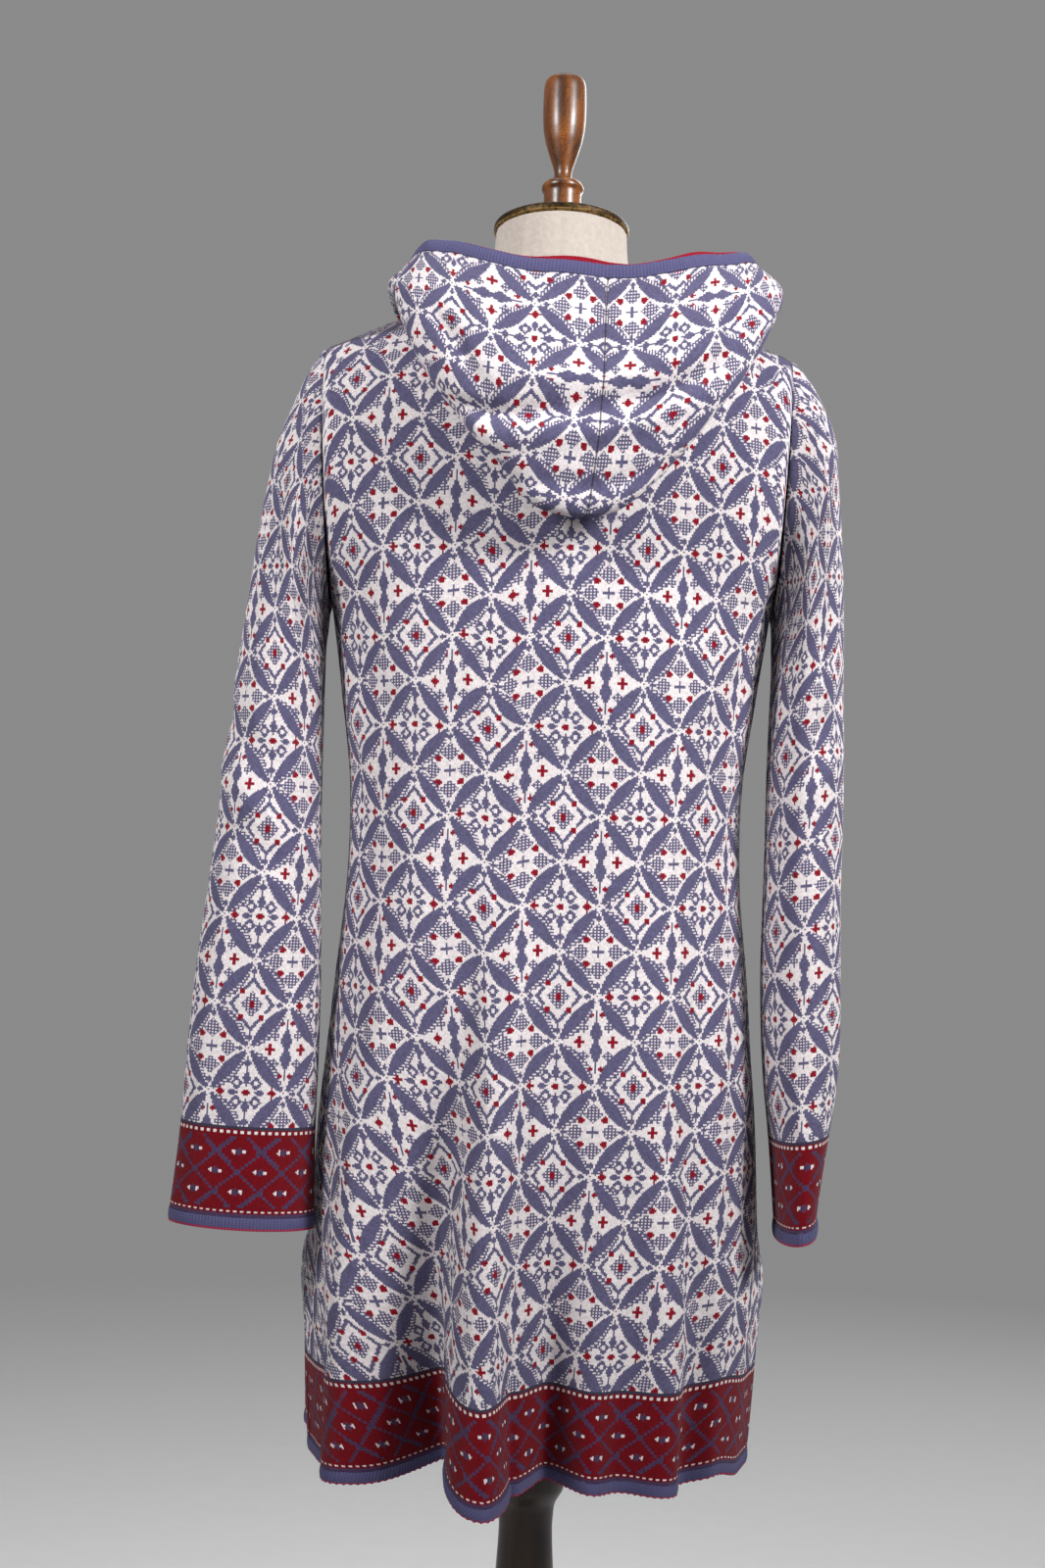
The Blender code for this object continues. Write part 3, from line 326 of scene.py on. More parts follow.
def skirt_points(angle, z):
    """The body cloth below the armpits, at angles from the centre back."""
    turn, side = np.radians(np.abs(angle)), np.where(angle < 0, -1.0, 1.0)
    across = np.abs(np.sin(turn)) ** (2 / SECTION_POWER)
    along = np.abs(np.cos(turn)) ** (2 / SECTION_POWER)
    at_front = np.abs(angle) > 90
    width = table_value(BODY_SECTIONS, z, 1)
    depth = np.where(at_front, table_value(BODY_SECTIONS, z, 3), table_value(BODY_SECTIONS, z, 2))
    flare = table_value(BODY_SECTIONS, z, 4)
    flare = flare * bump(np.abs(angle) - FLARE_ANGLE, FLARE_HALF_ANGLE, FLARE_HALF_ANGLE)
    x = side * (width * across + flare)
    y = depth * along * np.where(at_front, 1.0, -1.0)
    out = unit(joined(x / width**2, y / depth**2))
    push = np.zeros_like(x)
    for hem_angle, top_angle, low_half, high_half, top_z, fold_depth in BODY_FOLDS:
        drop = np.clip((top_z - z) / (top_z - HEM_Z), 0.0, 1.05)
        middle = top_angle + (hem_angle - top_angle) * drop
        push = push + fold_depth * drop**FOLD_GROWTH * bump(angle - middle, low_half, high_half)
    drop = np.clip((FOLD_LEAN_TOP - z) / (FOLD_LEAN_TOP - HEM_Z), 0.0, 1.05)
    lean = FOLD_LEAN * drop**2 * bump(angle - FOLD_LEAN_ANGLE, 8.0, 6.0)
    return joined(x + out[..., 0] * push + lean, y + out[..., 1] * push, z)


def yoke_points(angle, rise):
    """The body cloth from the armpits, at rise 0, to the shoulders and neckline, at rise 1."""
    side = np.where(angle < 0, -1.0, 1.0)
    at_front = np.abs(angle) > 90
    share = np.abs(np.sin(np.radians(angle))) ** (2 / SECTION_POWER)
    lift = (1 - np.cos(np.pi * rise)) / 2
    armhole_x = ARMPIT_X + (SHOULDER_X - ARMPIT_X) * lift
    armhole_depth = ARMHOLE_HALF_DEPTH * np.sin(np.pi * rise)
    slope = (share * SHOULDER_X - NECK_X) / (SHOULDER_X - NECK_X)
    in_neck = share < NECK_X / SHOULDER_X
    round_neck = np.sqrt(np.clip(1 - (share * SHOULDER_X / NECK_X) ** 2, 0, 1))
    drop = np.where(at_front, NECK_FRONT_DROP * round_neck**1.5, NECK_BACK_DROP * round_neck)
    top_z = np.where(in_neck, NECK_Z - drop, NECK_Z + (SHOULDER_Z - NECK_Z) * slope)
    top_depth = np.where(in_neck, np.where(at_front, NECK_FRONT_DEPTH, NECK_BACK_DEPTH) * round_neck, 0.0)
    base_depth = np.where(at_front, BODY_SECTIONS[-1][3], BODY_SECTIONS[-1][2])
    kept = lift**ARCH_POWER
    middle = np.sqrt(base_depth**2 * (1 - kept) + top_depth**2 * kept)
    edge = share**SECTION_POWER
    depth = (1 - edge) * middle**SECTION_POWER + edge * np.abs(armhole_depth) ** SECTION_POWER
    depth = depth ** (1 / SECTION_POWER)
    z = ARMPIT_Z + (top_z - ARMPIT_Z) * lift
    return joined(side * share * armhole_x, np.where(at_front, depth, -depth), z)


def body_points(angle, rise):
    """The outside of the body cloth. rise is -1 at the hem, 0 at the armpit, 1 at the top."""
    angle, rise = np.broadcast_arrays(np.asarray(angle, float), np.asarray(rise, float))
    angle = (angle + 180.0) % 360.0 - 180.0
    skirt = skirt_points(angle, HEM_Z + (ARMPIT_Z - HEM_Z) * (1 + np.minimum(rise, 0.0)))
    yoke = yoke_points(angle, np.clip(rise, 0.0, 1.0))
    return np.where((rise <= 0)[..., None], skirt, yoke)


def drawn_up(points, angle):
    """The cloth with its hem raised beside the folds."""
    points = points.copy()
    drop = np.clip((FOLD_LEAN_TOP - points[..., 2]) / (FOLD_LEAN_TOP - HEM_Z), 0.0, 1.05)
    for middle, low_half, high_half, rise in HEM_RISES:
        points[..., 2] += rise * drop**1.5 * bump(angle - middle, low_half, high_half)
    return points


def angle_of_share(share):
    return np.degrees(np.arcsin(np.minimum(share, 1.0) ** (SECTION_POWER / 2)))


def half_width(rise):
    """Half the body's width at the sides or at the armholes."""
    low = table_value(BODY_SECTIONS, HEM_Z + (ARMPIT_Z - HEM_Z) * (1 + rise), 1)
    high = ARMPIT_X + (SHOULDER_X - ARMPIT_X) * (1 - np.cos(np.pi * np.clip(rise, 0, 1))) / 2
    return np.where(np.asarray(rise) <= 0, low, high)


def front_edge_angle(rise):
    return 180.0 - angle_of_share((BAND_HALF_WIDTH + SEAM_GAP) / half_width(rise))


def normals_of(points, wrap=False):
    """Normals of a grid of points: along the columns' direction crossed with the rows' direction."""
    if wrap:
        across = np.roll(points, -1, 1) - np.roll(points, 1, 1)
    else:
        across = np.gradient(points, axis=1)
    return unit(np.cross(across, np.gradient(points, axis=0)))


def strokes(across, up, table):
    """How far soft strokes raise or lower the cloth: each fades at its ends and bows a little."""
    height = np.zeros_like(across)
    for x0, y0, x1, y1, width, rise, bow in table:
        start, way = np.array([x0, y0]), np.array([x1 - x0, y1 - y0])
        length = np.linalg.norm(way)
        way = way / length
        along = (across - start[0]) * way[0] + (up - start[1]) * way[1]
        off = (across - start[0]) * way[1] - (up - start[1]) * way[0]
        share = along / length
        inside = np.clip(share, 0, 1)
        off = off - bow * np.sin(np.pi * inside)
        taper = smoothstep(-0.12, 0.35, share) * (1 - smoothstep(0.6, 1.12, share))
        height += rise * taper * np.exp(-((off / width) ** 2))
    return height


def ripple(across, up, seed, size=0.0006):
    """The slight unevenness of hanging knit: a few long waves, the same each run."""
    rng = np.random.default_rng(seed)
    height = np.zeros_like(across)
    for _ in range(9):
        kx, ky, phase = rng.uniform(18, 70), rng.uniform(6, 34), rng.uniform(0, 2 * np.pi)
        height += np.sin(across * kx * rng.choice((-1, 1)) + up * ky + phase)
    return height * size / 3


def lengths_along(points, axis):
    """Running length from the first point, along one axis of a grid."""
    steps = np.linalg.norm(np.diff(points, axis=axis), axis=-1)
    first = np.zeros_like(np.take(steps, [0], axis=axis))
    return np.concatenate([first, np.cumsum(steps, axis=axis)], axis=axis)


def placed(name, data):
    item = bpy.data.objects.new(name, data)
    bpy.context.scene.collection.objects.link(item)
    return item


def new_piece(name, vertices, faces, material, uv=None, smooth_angle=60.0):
    """A mesh object with its cloth lengths in the map named cloth; uv has a row for each vertex."""
    mesh = bpy.data.meshes.new(name)
    mesh.from_pydata(vertices.tolist(), [], faces)
    if uv is not None:
        corners = np.empty(len(mesh.loops), np.int32)
        mesh.loops.foreach_get("vertex_index", corners)
        layer = mesh.uv_layers.new(name="cloth")
        layer.data.foreach_set("uv", np.asarray(uv, np.float32)[corners].ravel())
    mesh.shade_smooth()
    mesh.set_sharp_from_angle(angle=math.radians(smooth_angle))
    mesh.materials.append(material)
    return placed(name, mesh)


def grid_faces(start, rows, columns, wrap=False, flip=False):
    index = start + np.arange(rows * columns).reshape(rows, columns)
    right = np.roll(index, -1, 1) if wrap else index[:, 1:]
    left = index if wrap else index[:, :-1]
    quads = joined(left[:-1], right[:-1], right[1:], left[1:]).reshape(-1, 4)
    return quads[:, ::-1] if flip else quads


def shell(name, points, normals, uv, material, wall, lift=0.0, wrap=False):
    """A closed cloth wall: an outer and an inner grid joined along the edges."""
    rows, columns = points.shape[:2]
    outer, inner = points + normals * lift, points + normals * (lift - wall)
    faces = [grid_faces(0, rows, columns, wrap), grid_faces(rows * columns, rows, columns, wrap, flip=True)]
    middle = rows * columns
    first = np.arange(columns)
    for line, reverse in ((first, True), (first + (rows - 1) * columns, False)):
        after = np.roll(line, -1) if wrap else line[1:]
        before = line if wrap else line[:-1]
        strip = joined(before, after, after + middle, before + middle)
        faces.append(strip[:, ::-1] if reverse else strip)
    if not wrap:
        first = np.arange(rows) * columns
        for line, reverse in ((first, False), (first + columns - 1, True)):
            strip = joined(line[:-1], line[1:], line[1:] + middle, line[:-1] + middle)
            faces.append(strip[:, ::-1] if reverse else strip)
    vertices = np.concatenate([outer.reshape(-1, 3), inner.reshape(-1, 3)])
    flat_uv = np.concatenate([uv.reshape(-1, 2)] * 2)
    item = new_piece(name, vertices, np.concatenate(faces).tolist(), material, flat_uv)
    if wrap:
        run_past_seam(item, points, uv)
    return item


def run_past_seam(item, points, uv):
    """Lets a tube's cloth map run on where its last column meets its first."""
    rows, columns = points.shape[:2]
    girths = uv[:, -1, 0] - uv[:, 0, 0] + np.linalg.norm(points[:, 0] - points[:, -1], axis=-1)
    layer = item.data.uv_layers["cloth"]
    values = np.empty(len(item.data.loops) * 2, np.float32)
    layer.data.foreach_get("uv", values)
    values = values.reshape(-1, 4, 2)
    corners = np.empty(len(item.data.loops), np.int32)
    item.data.loops.foreach_get("vertex_index", corners)
    corners = corners.reshape(-1, 4) % (rows * columns)
    column, row = corners % columns, corners // columns
    crosses = (column.max(1) == columns - 1) & (column.min(1) == 0)
    values[..., 0] += np.where(crosses[:, None] & (column == 0), girths[row], 0.0)
    layer.data.foreach_set("uv", values.ravel())


# Cloth panels
SKIRT_ROWS, YOKE_ROWS, BACK_COLUMNS, FRONT_COLUMNS = 170, 64, 157, 93
RISES = np.concatenate([
    np.linspace(-1, 0, SKIRT_ROWS, endpoint=False), 1 - (1 - np.linspace(0, 1, YOKE_ROWS)) ** 1.5
])
SEAM_ANGLE = math.degrees(SEAM_GAP / 2 / ARMPIT_X) * 1.3
FRONT_EDGES = front_edge_angle(RISES)


def seam_pinch(distance):
    """Cloth drawn in along a seam, with a slight swell beside it."""
    groove = -0.0009 * np.exp(-((distance / 0.0022) ** 2))
    return groove + 0.0004 * np.exp(-(((distance - 0.0065) / 0.0035) ** 2))


def panel_grid(low, high, columns):
    share = np.linspace(0, 1, columns)[None, :]
    angle = np.reshape(low, (-1, 1)) * (1 - share) + np.reshape(high, (-1, 1)) * share
    return body_points(angle, RISES[:, None]), angle


def gapped(points, at_front):
    """The panel's top row, half a seam's gap short of the shoulder line."""
    points = points.copy()
    points[-1, :, 2] -= SEAM_GAP / 2
    points[-1, :, 1] += SEAM_GAP / 2 if at_front else -SEAM_GAP / 2
    return points


def body_panel(name, points, angle, uv, creases, seed, material, pinched):
    points = drawn_up(points, angle)
    normals = normals_of(points)
    across, up = uv[..., 0], uv[..., 1]
    height = strokes(np.abs(across) if "front" in name else across, up, creases)
    height = height + ripple(across, up, seed)
    edges = [np.abs(across - across[:, [column]]) for column in pinched]
    height = height + sum(seam_pinch(edge) for edge in edges) + seam_pinch(up[-1] - up)
    nearest = np.minimum.reduce(edges + [up[-1] - up])
    height = np.where(height > 0, height * smoothstep(0.0, 0.012, nearest), height)
    return shell(name, points + normals * height[..., None], normals, uv, material, WALL)


# Half the cloth's girth, from the centre back to the front edge, where the fronts' pattern is anchored
HALF_GIRTH = 0.46


def body_pieces(material):
    seam = np.full_like(RISES, SEAM_ANGLE)
    back, angle = panel_grid(seam - 90, 90 - seam, BACK_COLUMNS)
    back = gapped(back, False)
    across = lengths_along(back, 1)
    uv = joined(across - across[:, [BACK_COLUMNS // 2]], lengths_along(back, 0))
    pieces = [body_panel("back_cloth", back, angle, uv, BACK_CREASES, 3, material, (0, -1))]
    for side, word in ((1.0, "right"), (-1.0, "left")):
        low = seam + 90 if side > 0 else -FRONT_EDGES
        high = FRONT_EDGES if side > 0 else -90 - seam
        front, angle = panel_grid(low, high, FRONT_COLUMNS)
        front = gapped(front, True)
        length = lengths_along(front, 1)
        # The pattern runs straight down the front edge, so its lengths are measured from there
        out = HALF_GIRTH - (length[:, [-1]] - length) if side > 0 else length - HALF_GIRTH
        uv = joined(out, lengths_along(front, 0))
        name = f"front_{word}_cloth"
        pinched = (0,) if side > 0 else (-1,)
        pieces.append(body_panel(name, front, angle, uv, FRONT_CREASES, 5 + int(side), material, pinched))
    return pieces


EDGE_ROWS, SCALLOP, SCALLOP_RISE = 9, 0.0054, 0.0011


def hem_piece(material):
    height = ARMPIT_Z - HEM_Z
    top = -1 - SEAM_GAP / height
    rises = np.linspace(top - EDGE_HEIGHT / height, top, EDGE_ROWS)
    reach = float(front_edge_angle(-1.0)) - 0.15
    angle = np.linspace(-reach, reach, 1240)[None, :]
    points = drawn_up(body_points(angle, rises[:, None]), angle)
    normals = normals_of(points)
    uv = joined(lengths_along(points, 1), lengths_along(points, 0))
    share = np.linspace(0, 1, EDGE_ROWS)[:, None]
    scallop = np.abs(np.cos(uv[:1, :, 0] / SCALLOP * np.pi)) ** 0.7
    points[..., 2] += SCALLOP_RISE * scallop * (1 - share) ** 2
    bulge = 0.0007 * np.sin(np.pi * share) + 0.0004 * (0.5 - scallop) * (1 - share)
    points = points + normals * bulge[..., None]
    return shell("hem_edge_knit", points, normals, uv, material, EDGE_WALL, TRIM_LIFT)


# Sleeves
SLEEVE_ROWS, SLEEVE_COLUMNS = 190, 108


def sleeve_ring_values(rows):
    """The sleeve's table read evenly along its length."""
    table = np.array(rows)
    middle = joined((table[:, 0] + table[:, 2]) / 2, (table[:, 1] + table[:, 3]) / 2)
    keys = np.concatenate([[0.0], np.cumsum(np.linalg.norm(np.diff(middle, axis=0), axis=1))])
    at = np.linspace(0, keys[-1], SLEEVE_ROWS)
    return [curve_value(keys, table[:, column], at)[:, None] for column in range(6)]


def sleeve_points(rows, side):
    outer_x, outer_z, inner_x, inner_z, half_depth, shift = sleeve_ring_values(rows)
    turn = np.linspace(-np.pi, np.pi, SLEEVE_COLUMNS, endpoint=False)[None, :] * side
    x = (outer_x + inner_x) / 2 + (outer_x - inner_x) / 2 * np.cos(turn)
    z = (outer_z + inner_z) / 2 + (outer_z - inner_z) / 2 * np.cos(turn)
    points = joined(side * x, shift + half_depth * np.sin(turn), z)
    out_of_armhole = unit(np.array([side * (SHOULDER_Z - ARMPIT_Z), 0.0, ARMPIT_X - SHOULDER_X]))
    points[0] += out_of_armhole * SEAM_GAP
    return points[::-1]


def sleeve_pieces(word, side, rows, creases, seed, material, trim):
    points = sleeve_points(rows, side)
    normals = normals_of(points, wrap=True)
    centres = points.mean(1, keepdims=True)
    around = lengths_along(points, 1)
    around = around - around[:, [SLEEVE_COLUMNS // 2]]
    up = lengths_along(points, 0)
    height = strokes(around * side, up, creases) + ripple(around, up, seed)
    inside = smoothstep(0.55, 0.75, np.abs(around) / around[:, -1:])
    height = np.where(height > 0.0004, height * (1 - inside) + 0.0004 * inside, height)
    height = height + seam_pinch(up[-1] - up)
    bent = points + normals * height[..., None]
    uv = joined(around, up)
    cloth = shell(f"sleeve_{word}_cloth", bent, normals, uv, material, WALL, wrap=True)
    down = unit(centres[0, 0] - centres[6, 0])
    drops = SEAM_GAP + EDGE_HEIGHT * np.linspace(1, 0, EDGE_ROWS)[:, None]
    bulge = 0.0006 * np.sin(np.pi * np.linspace(0, 1, EDGE_ROWS))
    normals = np.repeat(normals[:1], EDGE_ROWS, 0)
    edge = points[:1] + down * drops[..., None] + normals * bulge[:, None, None]
    uv = joined(around[:1], EDGE_HEIGHT - drops)
    cuff = shell(f"cuff_edge_{word}_knit", edge, normals, uv, trim, EDGE_WALL, TRIM_LIFT, wrap=True)
    return cloth, cuff


# Hood
HOOD_ROWS, HOOD_COLUMNS, PROFILE_STEPS = 92, 84, 160
# The hood's stitches run along its rim, and their lengths begin here, clear of the border's
HOOD_SEAM_AT, HOOD_RIM_ROW = 1.0, 0.0115
FACING_RAISED = 0.0032


def clear_of_body(points):
    """The points moved out, square to the body cloth, where they would come too near it."""
    flat = points.reshape(-1, 3)
    rise = np.linspace(0, 1, PROFILE_STEPS + 1)[None, :]
    angle = angle_of_share(np.minimum(np.abs(flat[:, :1]) / half_width(rise), 0.999))
    angle = np.where(flat[:, 1:2] > 0, 180.0 - angle, angle)
    profile = yoke_points(angle, np.broadcast_to(rise, angle.shape))
    depths, heights = np.abs(profile[..., 1]), profile[..., 2]
    y, z = np.abs(flat[:, 1]), flat[:, 2]
    near = ((depths - y[:, None]) ** 2 + (heights - z[:, None]) ** 2).argmin(1)
    row = np.arange(len(flat))
    low, high = np.maximum(near - 1, 0), np.minimum(near + 1, PROFILE_STEPS)
    along = unit(joined(depths[row, high] - depths[row, low], heights[row, high] - heights[row, low]))
    away = joined(y - depths[row, near], z - heights[row, near])
    out = joined(along[:, 1], -along[:, 0])
    short = np.maximum(HOOD_CLEARANCE - (away * out).sum(1), 0.0)
    beyond = (near == PROFILE_STEPS) & (depths[row, near] > 0.001) & ((away * along).sum(1) > 0)
    short = np.where(beyond, 0.0, short)
    moved = joined(flat[:, 0], np.copysign(y + out[:, 0] * short, flat[:, 1]), z + out[:, 1] * short)
    return moved.reshape(points.shape)


def curve_through(controls, count):
    """Points evenly spaced along a smooth curve through each column's controls."""
    first, last = controls[0] * 2 - controls[1], controls[-1] * 2 - controls[-2]
    padded = [first] + list(controls) + [last]
    fine = []
    for a, b, c, d in zip(padded, padded[1:], padded[2:], padded[3:]):
        square, cube = a * 2 - b * 5 + c * 4 - d, b * 3 - a - c * 3 + d
        fine += [b + (c - a) * t / 2 + square * t**2 / 2 + cube * t**3 / 2 for t in np.arange(16) / 16]
    fine = np.stack(fine + [controls[-1]])
    along = lengths_along(fine, 0)
    columns = []
    for column in range(fine.shape[1]):
        places = np.linspace(0, along[-1, column], count)
        columns.append([np.interp(places, along[:, column], fine[:, column, axis]) for axis in range(3)])
    return np.array(columns).transpose(2, 0, 1)


def hood_side(table, side):
    """A grid from the centre back to the front, its rows from the neckline over the pouch to the rim.

    Also gives the row of the pouch's fold in each column.
    """
    neck_share = NECK_X / SHOULDER_X
    last = math.degrees(math.asin((BAND_HALF_WIDTH + SEAM_GAP) / NECK_X))
    turn = np.linspace(0.0, 180.0 - last, HOOD_COLUMNS)
    angle = angle_of_share(np.sin(np.radians(turn)) * neck_share)
    angle = side * np.where(turn > 90, 180.0 - angle, angle)
    neck = body_points(angle, np.ones_like(angle))
    below = body_points(angle, np.full_like(angle, 0.985))
    along = np.gradient(neck, axis=0)
    up = unit(neck - below)
    up = unit(up - unit(along) * (up * unit(along)).sum(-1, keepdims=True))
    fold = joined(*(table_value(table, turn, column) for column in (1, 2, 3)))
    rim = joined(*(table_value(table, turn, column) for column in (4, 5, 6)))
    away = fold - neck
    away[:, 2] = 0.0
    away = unit(away)
    lift = np.array([0.0, 0.0, 1.0])
    start = neck + up * SEAM_GAP * 1.6 + lift * SEAM_GAP
    stand = neck + up * HOOD_STAND * HOOD_STAND_LEAN + lift * HOOD_STAND * HOOD_STAND_RISE
    inner = clear_of_body(neck * (1 - INNER_SHARE) + fold * INNER_SHARE + away * INNER_PUSH)
    inner_low = clear_of_body(neck * (1 - INNER_LOW_SHARE) + fold * INNER_LOW_SHARE)
    outer_low = fold * (1 - POUCH_LOW_SHARE) + rim * POUCH_LOW_SHARE + away * POUCH_LOW_DEPTH
    outer = fold * (1 - POUCH_MIDDLE_SHARE) + rim * POUCH_MIDDLE_SHARE + away * POUCH_DEPTH
    section = curve_through(np.stack([stand, inner, inner_low, fold, outer_low, outer, rim]), HOOD_ROWS - 3)
    section[1:] = clear_of_body(section[1:])
    first = [start * (1 - share) + stand * share for share in (0.0, 0.33, 0.67)]
    fold_rows = 3 + np.linalg.norm(section - fold, axis=-1).argmin(0)
    return np.concatenate([np.stack(first), section]), fold_rows


def relaxed(points, passes):
    """The grid's inner points drawn a little towards their neighbours."""
    points = points.copy()
    for _ in range(passes):
        around = points[:-2, 1:-1] + points[2:, 1:-1] + points[1:-1, :-2] + points[1:-1, 2:]
        points[1:-1, 1:-1] = points[1:-1, 1:-1] * 0.5 + around * 0.125
    return points


def hood_grid():
    """The whole hood from the left front to the right, with the centre's column at HOOD_COLUMNS - 1."""
    (left, left_folds), (right, right_folds) = hood_side(LEFT_HOOD, -1.0), hood_side(RIGHT_HOOD, 1.0)
    folds = np.concatenate([left_folds[:0:-1], right_folds])
    return relaxed(np.concatenate([left[:, :0:-1], right], 1), 6), folds


def hood_lengths(points, folds):
    """Cloth lengths on the hood: across from the centre seam, square to the columns, and down from the rim.

    Under the pouch's fold, a column keeps the length across that it has at the fold.
    """
    down = lengths_along(points[::-1], 0)[::-1]
    ways = unit(np.gradient(points, axis=0))
    steps = np.linalg.norm(np.cross((ways[:, 1:] + ways[:, :-1]) / 2, np.diff(points, axis=1)), axis=-1)
    across = np.concatenate([np.zeros((len(points), 1)), np.cumsum(steps, 1)], 1)
    across = across - across[:, [HOOD_COLUMNS - 1]]
    rows, columns = np.arange(len(points))[:, None], np.arange(points.shape[1])
    return across[np.maximum(rows, folds[None]), columns[None]], down


def facing_shows(x):
    """Where the trim rolls outwards and more of the facing is seen over it."""
    return bump(x - 0.012, 0.055, 0.045) + bump(x - 0.120, 0.055, 0.050)


def hood_pieces(material, trim, facing_material):
    points, folds = hood_grid()
    centre = HOOD_COLUMNS - 1
    normals = normals_of(points)
    across, down = hood_lengths(points, folds)
    height = strokes(across, down, HOOD_CREASES) + ripple(across, down, 11, 0.0008)
    height = height * smoothstep(0.0, 0.02, down) * smoothstep(0.0, 0.02, down[0] - down)
    height = height + 1.4 * seam_pinch(np.abs(across))
    bent = points + normals * height[..., None]
    pieces = []
    for word, side in (("left", -1.0), ("right", 1.0)):
        part = slice(0, centre + 1) if side < 0 else slice(centre, None)
        half = bent[:, part].copy()
        half[:, -1 if side < 0 else 0, 0] += side * SEAM_GAP / 2
        uv = joined(HOOD_RIM_ROW - down[:, part], HOOD_SEAM_AT + np.abs(across[:, part]))
        pieces.append(shell(f"hood_{word}_cloth", half, normals[:, part], uv, material, WALL))
    rim, way = points[-1], unit(points[-1] - points[-4])
    out = normals[-3]
    along = lengths_along(rim[None], 1)[0]
    facing_starts = SEAM_GAP + TRIM_HEIGHT + FACING_SHOWS - FACING_HEIGHT
    strips = (
        ("hood_edge_knit", trim, SEAM_GAP, TRIM_HEIGHT, EDGE_WALL, TRIM_LIFT, 0.0008),
        ("hood_facing_knit", facing_material, facing_starts, FACING_HEIGHT, FACING_WALL,
         TRIM_LIFT - EDGE_WALL - 3 * SEAM_GAP, 0.0),
    )
    for name, finish, starts, tall, wall, lift, bulge in strips:
        rows = np.linspace(0, 1, EDGE_ROWS)
        strip = rim[None] + way[None] * (starts + tall * rows)[:, None, None]
        if bulge == 0.0:
            strip[rows > 0.7] += way[None] * (FACING_RAISED * facing_shows(rim[:, 0]))[None, :, None]
        ribs = np.cos(along / RIB_WIDTH * 2 * np.pi)
        swell = bulge * np.sin(np.pi * rows)[:, None] + bulge * 0.4 * ribs[None]
        strip = strip + out[None] * swell[..., None]
        uv = joined(along[None], (0.003 + tall * rows)[:, None])
        pieces.append(shell(name, strip, np.repeat(out[None], EDGE_ROWS, 0), uv, finish, wall, lift))
    return pieces


# Front closing
def band_points(across, rise):
    """Points of the front at a distance from its centre line."""
    across, rise = np.broadcast_arrays(across, rise)
    angle = 180.0 - angle_of_share(np.abs(across) / half_width(rise))
    angle = np.copysign(np.clip(angle, 90.0, 179.6), across)
    points = body_points(angle, rise)
    points[..., 0] = across
    return points


def band_piece(name, material, lift):
    height = ARMPIT_Z - HEM_Z
    rises = np.linspace(-1 - EDGE_HEIGHT / height, BAND_TOP, 260)
    across = np.array([-0.0145, -0.0125, -0.0080, -0.0035, 0.0035, 0.0080, 0.0125, 0.0145])
    points = band_points(across[None, :], rises[:, None])
    normals = normals_of(points)
    normals[..., 0] = 0.0
    normals = unit(np.repeat(normals[:, 3:4] + normals[:, 4:5], len(across), 1))
    if normals[..., 1].mean() < 0:
        normals = -normals
    uv = joined(lengths_along(points, 0)[:, :1], across + 0.02)
    return shell(name, points[:, ::-1], normals, uv[:, ::-1], material, WALL, lift)


def front_rise(z):
    """The rise at a height of the centre front."""
    if z <= ARMPIT_Z:
        return (z - HEM_Z) / (ARMPIT_Z - HEM_Z) - 1
    lift = (z - ARMPIT_Z) / (NECK_Z - NECK_FRONT_DROP - ARMPIT_Z)
    return math.acos(1 - 2 * lift) / math.pi


def turned(name, profile, material, place=(0.0, 0.0, 0.0), tilt=0.0, steps=96, rounding=2):
    """A turned piece: its profile with its corners eased, swept round its axis."""
    line = np.array(profile, float)
    for _ in range(rounding):
        near, far = line[:-1] * 0.85 + line[1:] * 0.15, line[:-1] * 0.15 + line[1:] * 0.85
        line = np.concatenate([line[:1], np.stack([near, far], 1).reshape(-1, 2)[1:-1], line[-1:]])
    turn = np.linspace(0, 2 * np.pi, steps, endpoint=False)
    rings = joined(line[1:-1, :1] * np.cos(turn), line[1:-1, :1] * np.sin(turn), line[1:-1, 1:])
    vertices = np.concatenate([rings.reshape(-1, 3), [[0, 0, line[0, 1]], [0, 0, line[-1, 1]]]])
    faces = grid_faces(0, len(line) - 2, steps, wrap=True, flip=True).tolist()
    top, bottom, last = len(vertices) - 2, len(vertices) - 1, (len(line) - 3) * steps
    for k in range(steps):
        after = (k + 1) % steps
        faces += [[top, k, after], [bottom, last + after, last + k]]
    item = new_piece(name, vertices, faces, material, smooth_angle=50.0)
    item.location, item.rotation_euler = place, (tilt, 0.0, 0.0)
    return item


BUTTON_PROFILE = metres((
    (0, 2.2), (5.5, 2.2), (6.4, 3.3), (7.8, 3.5), (9, 2.8),
    (9.5, 1.6), (9.2, 0.4), (8, 0), (0, 0),
))


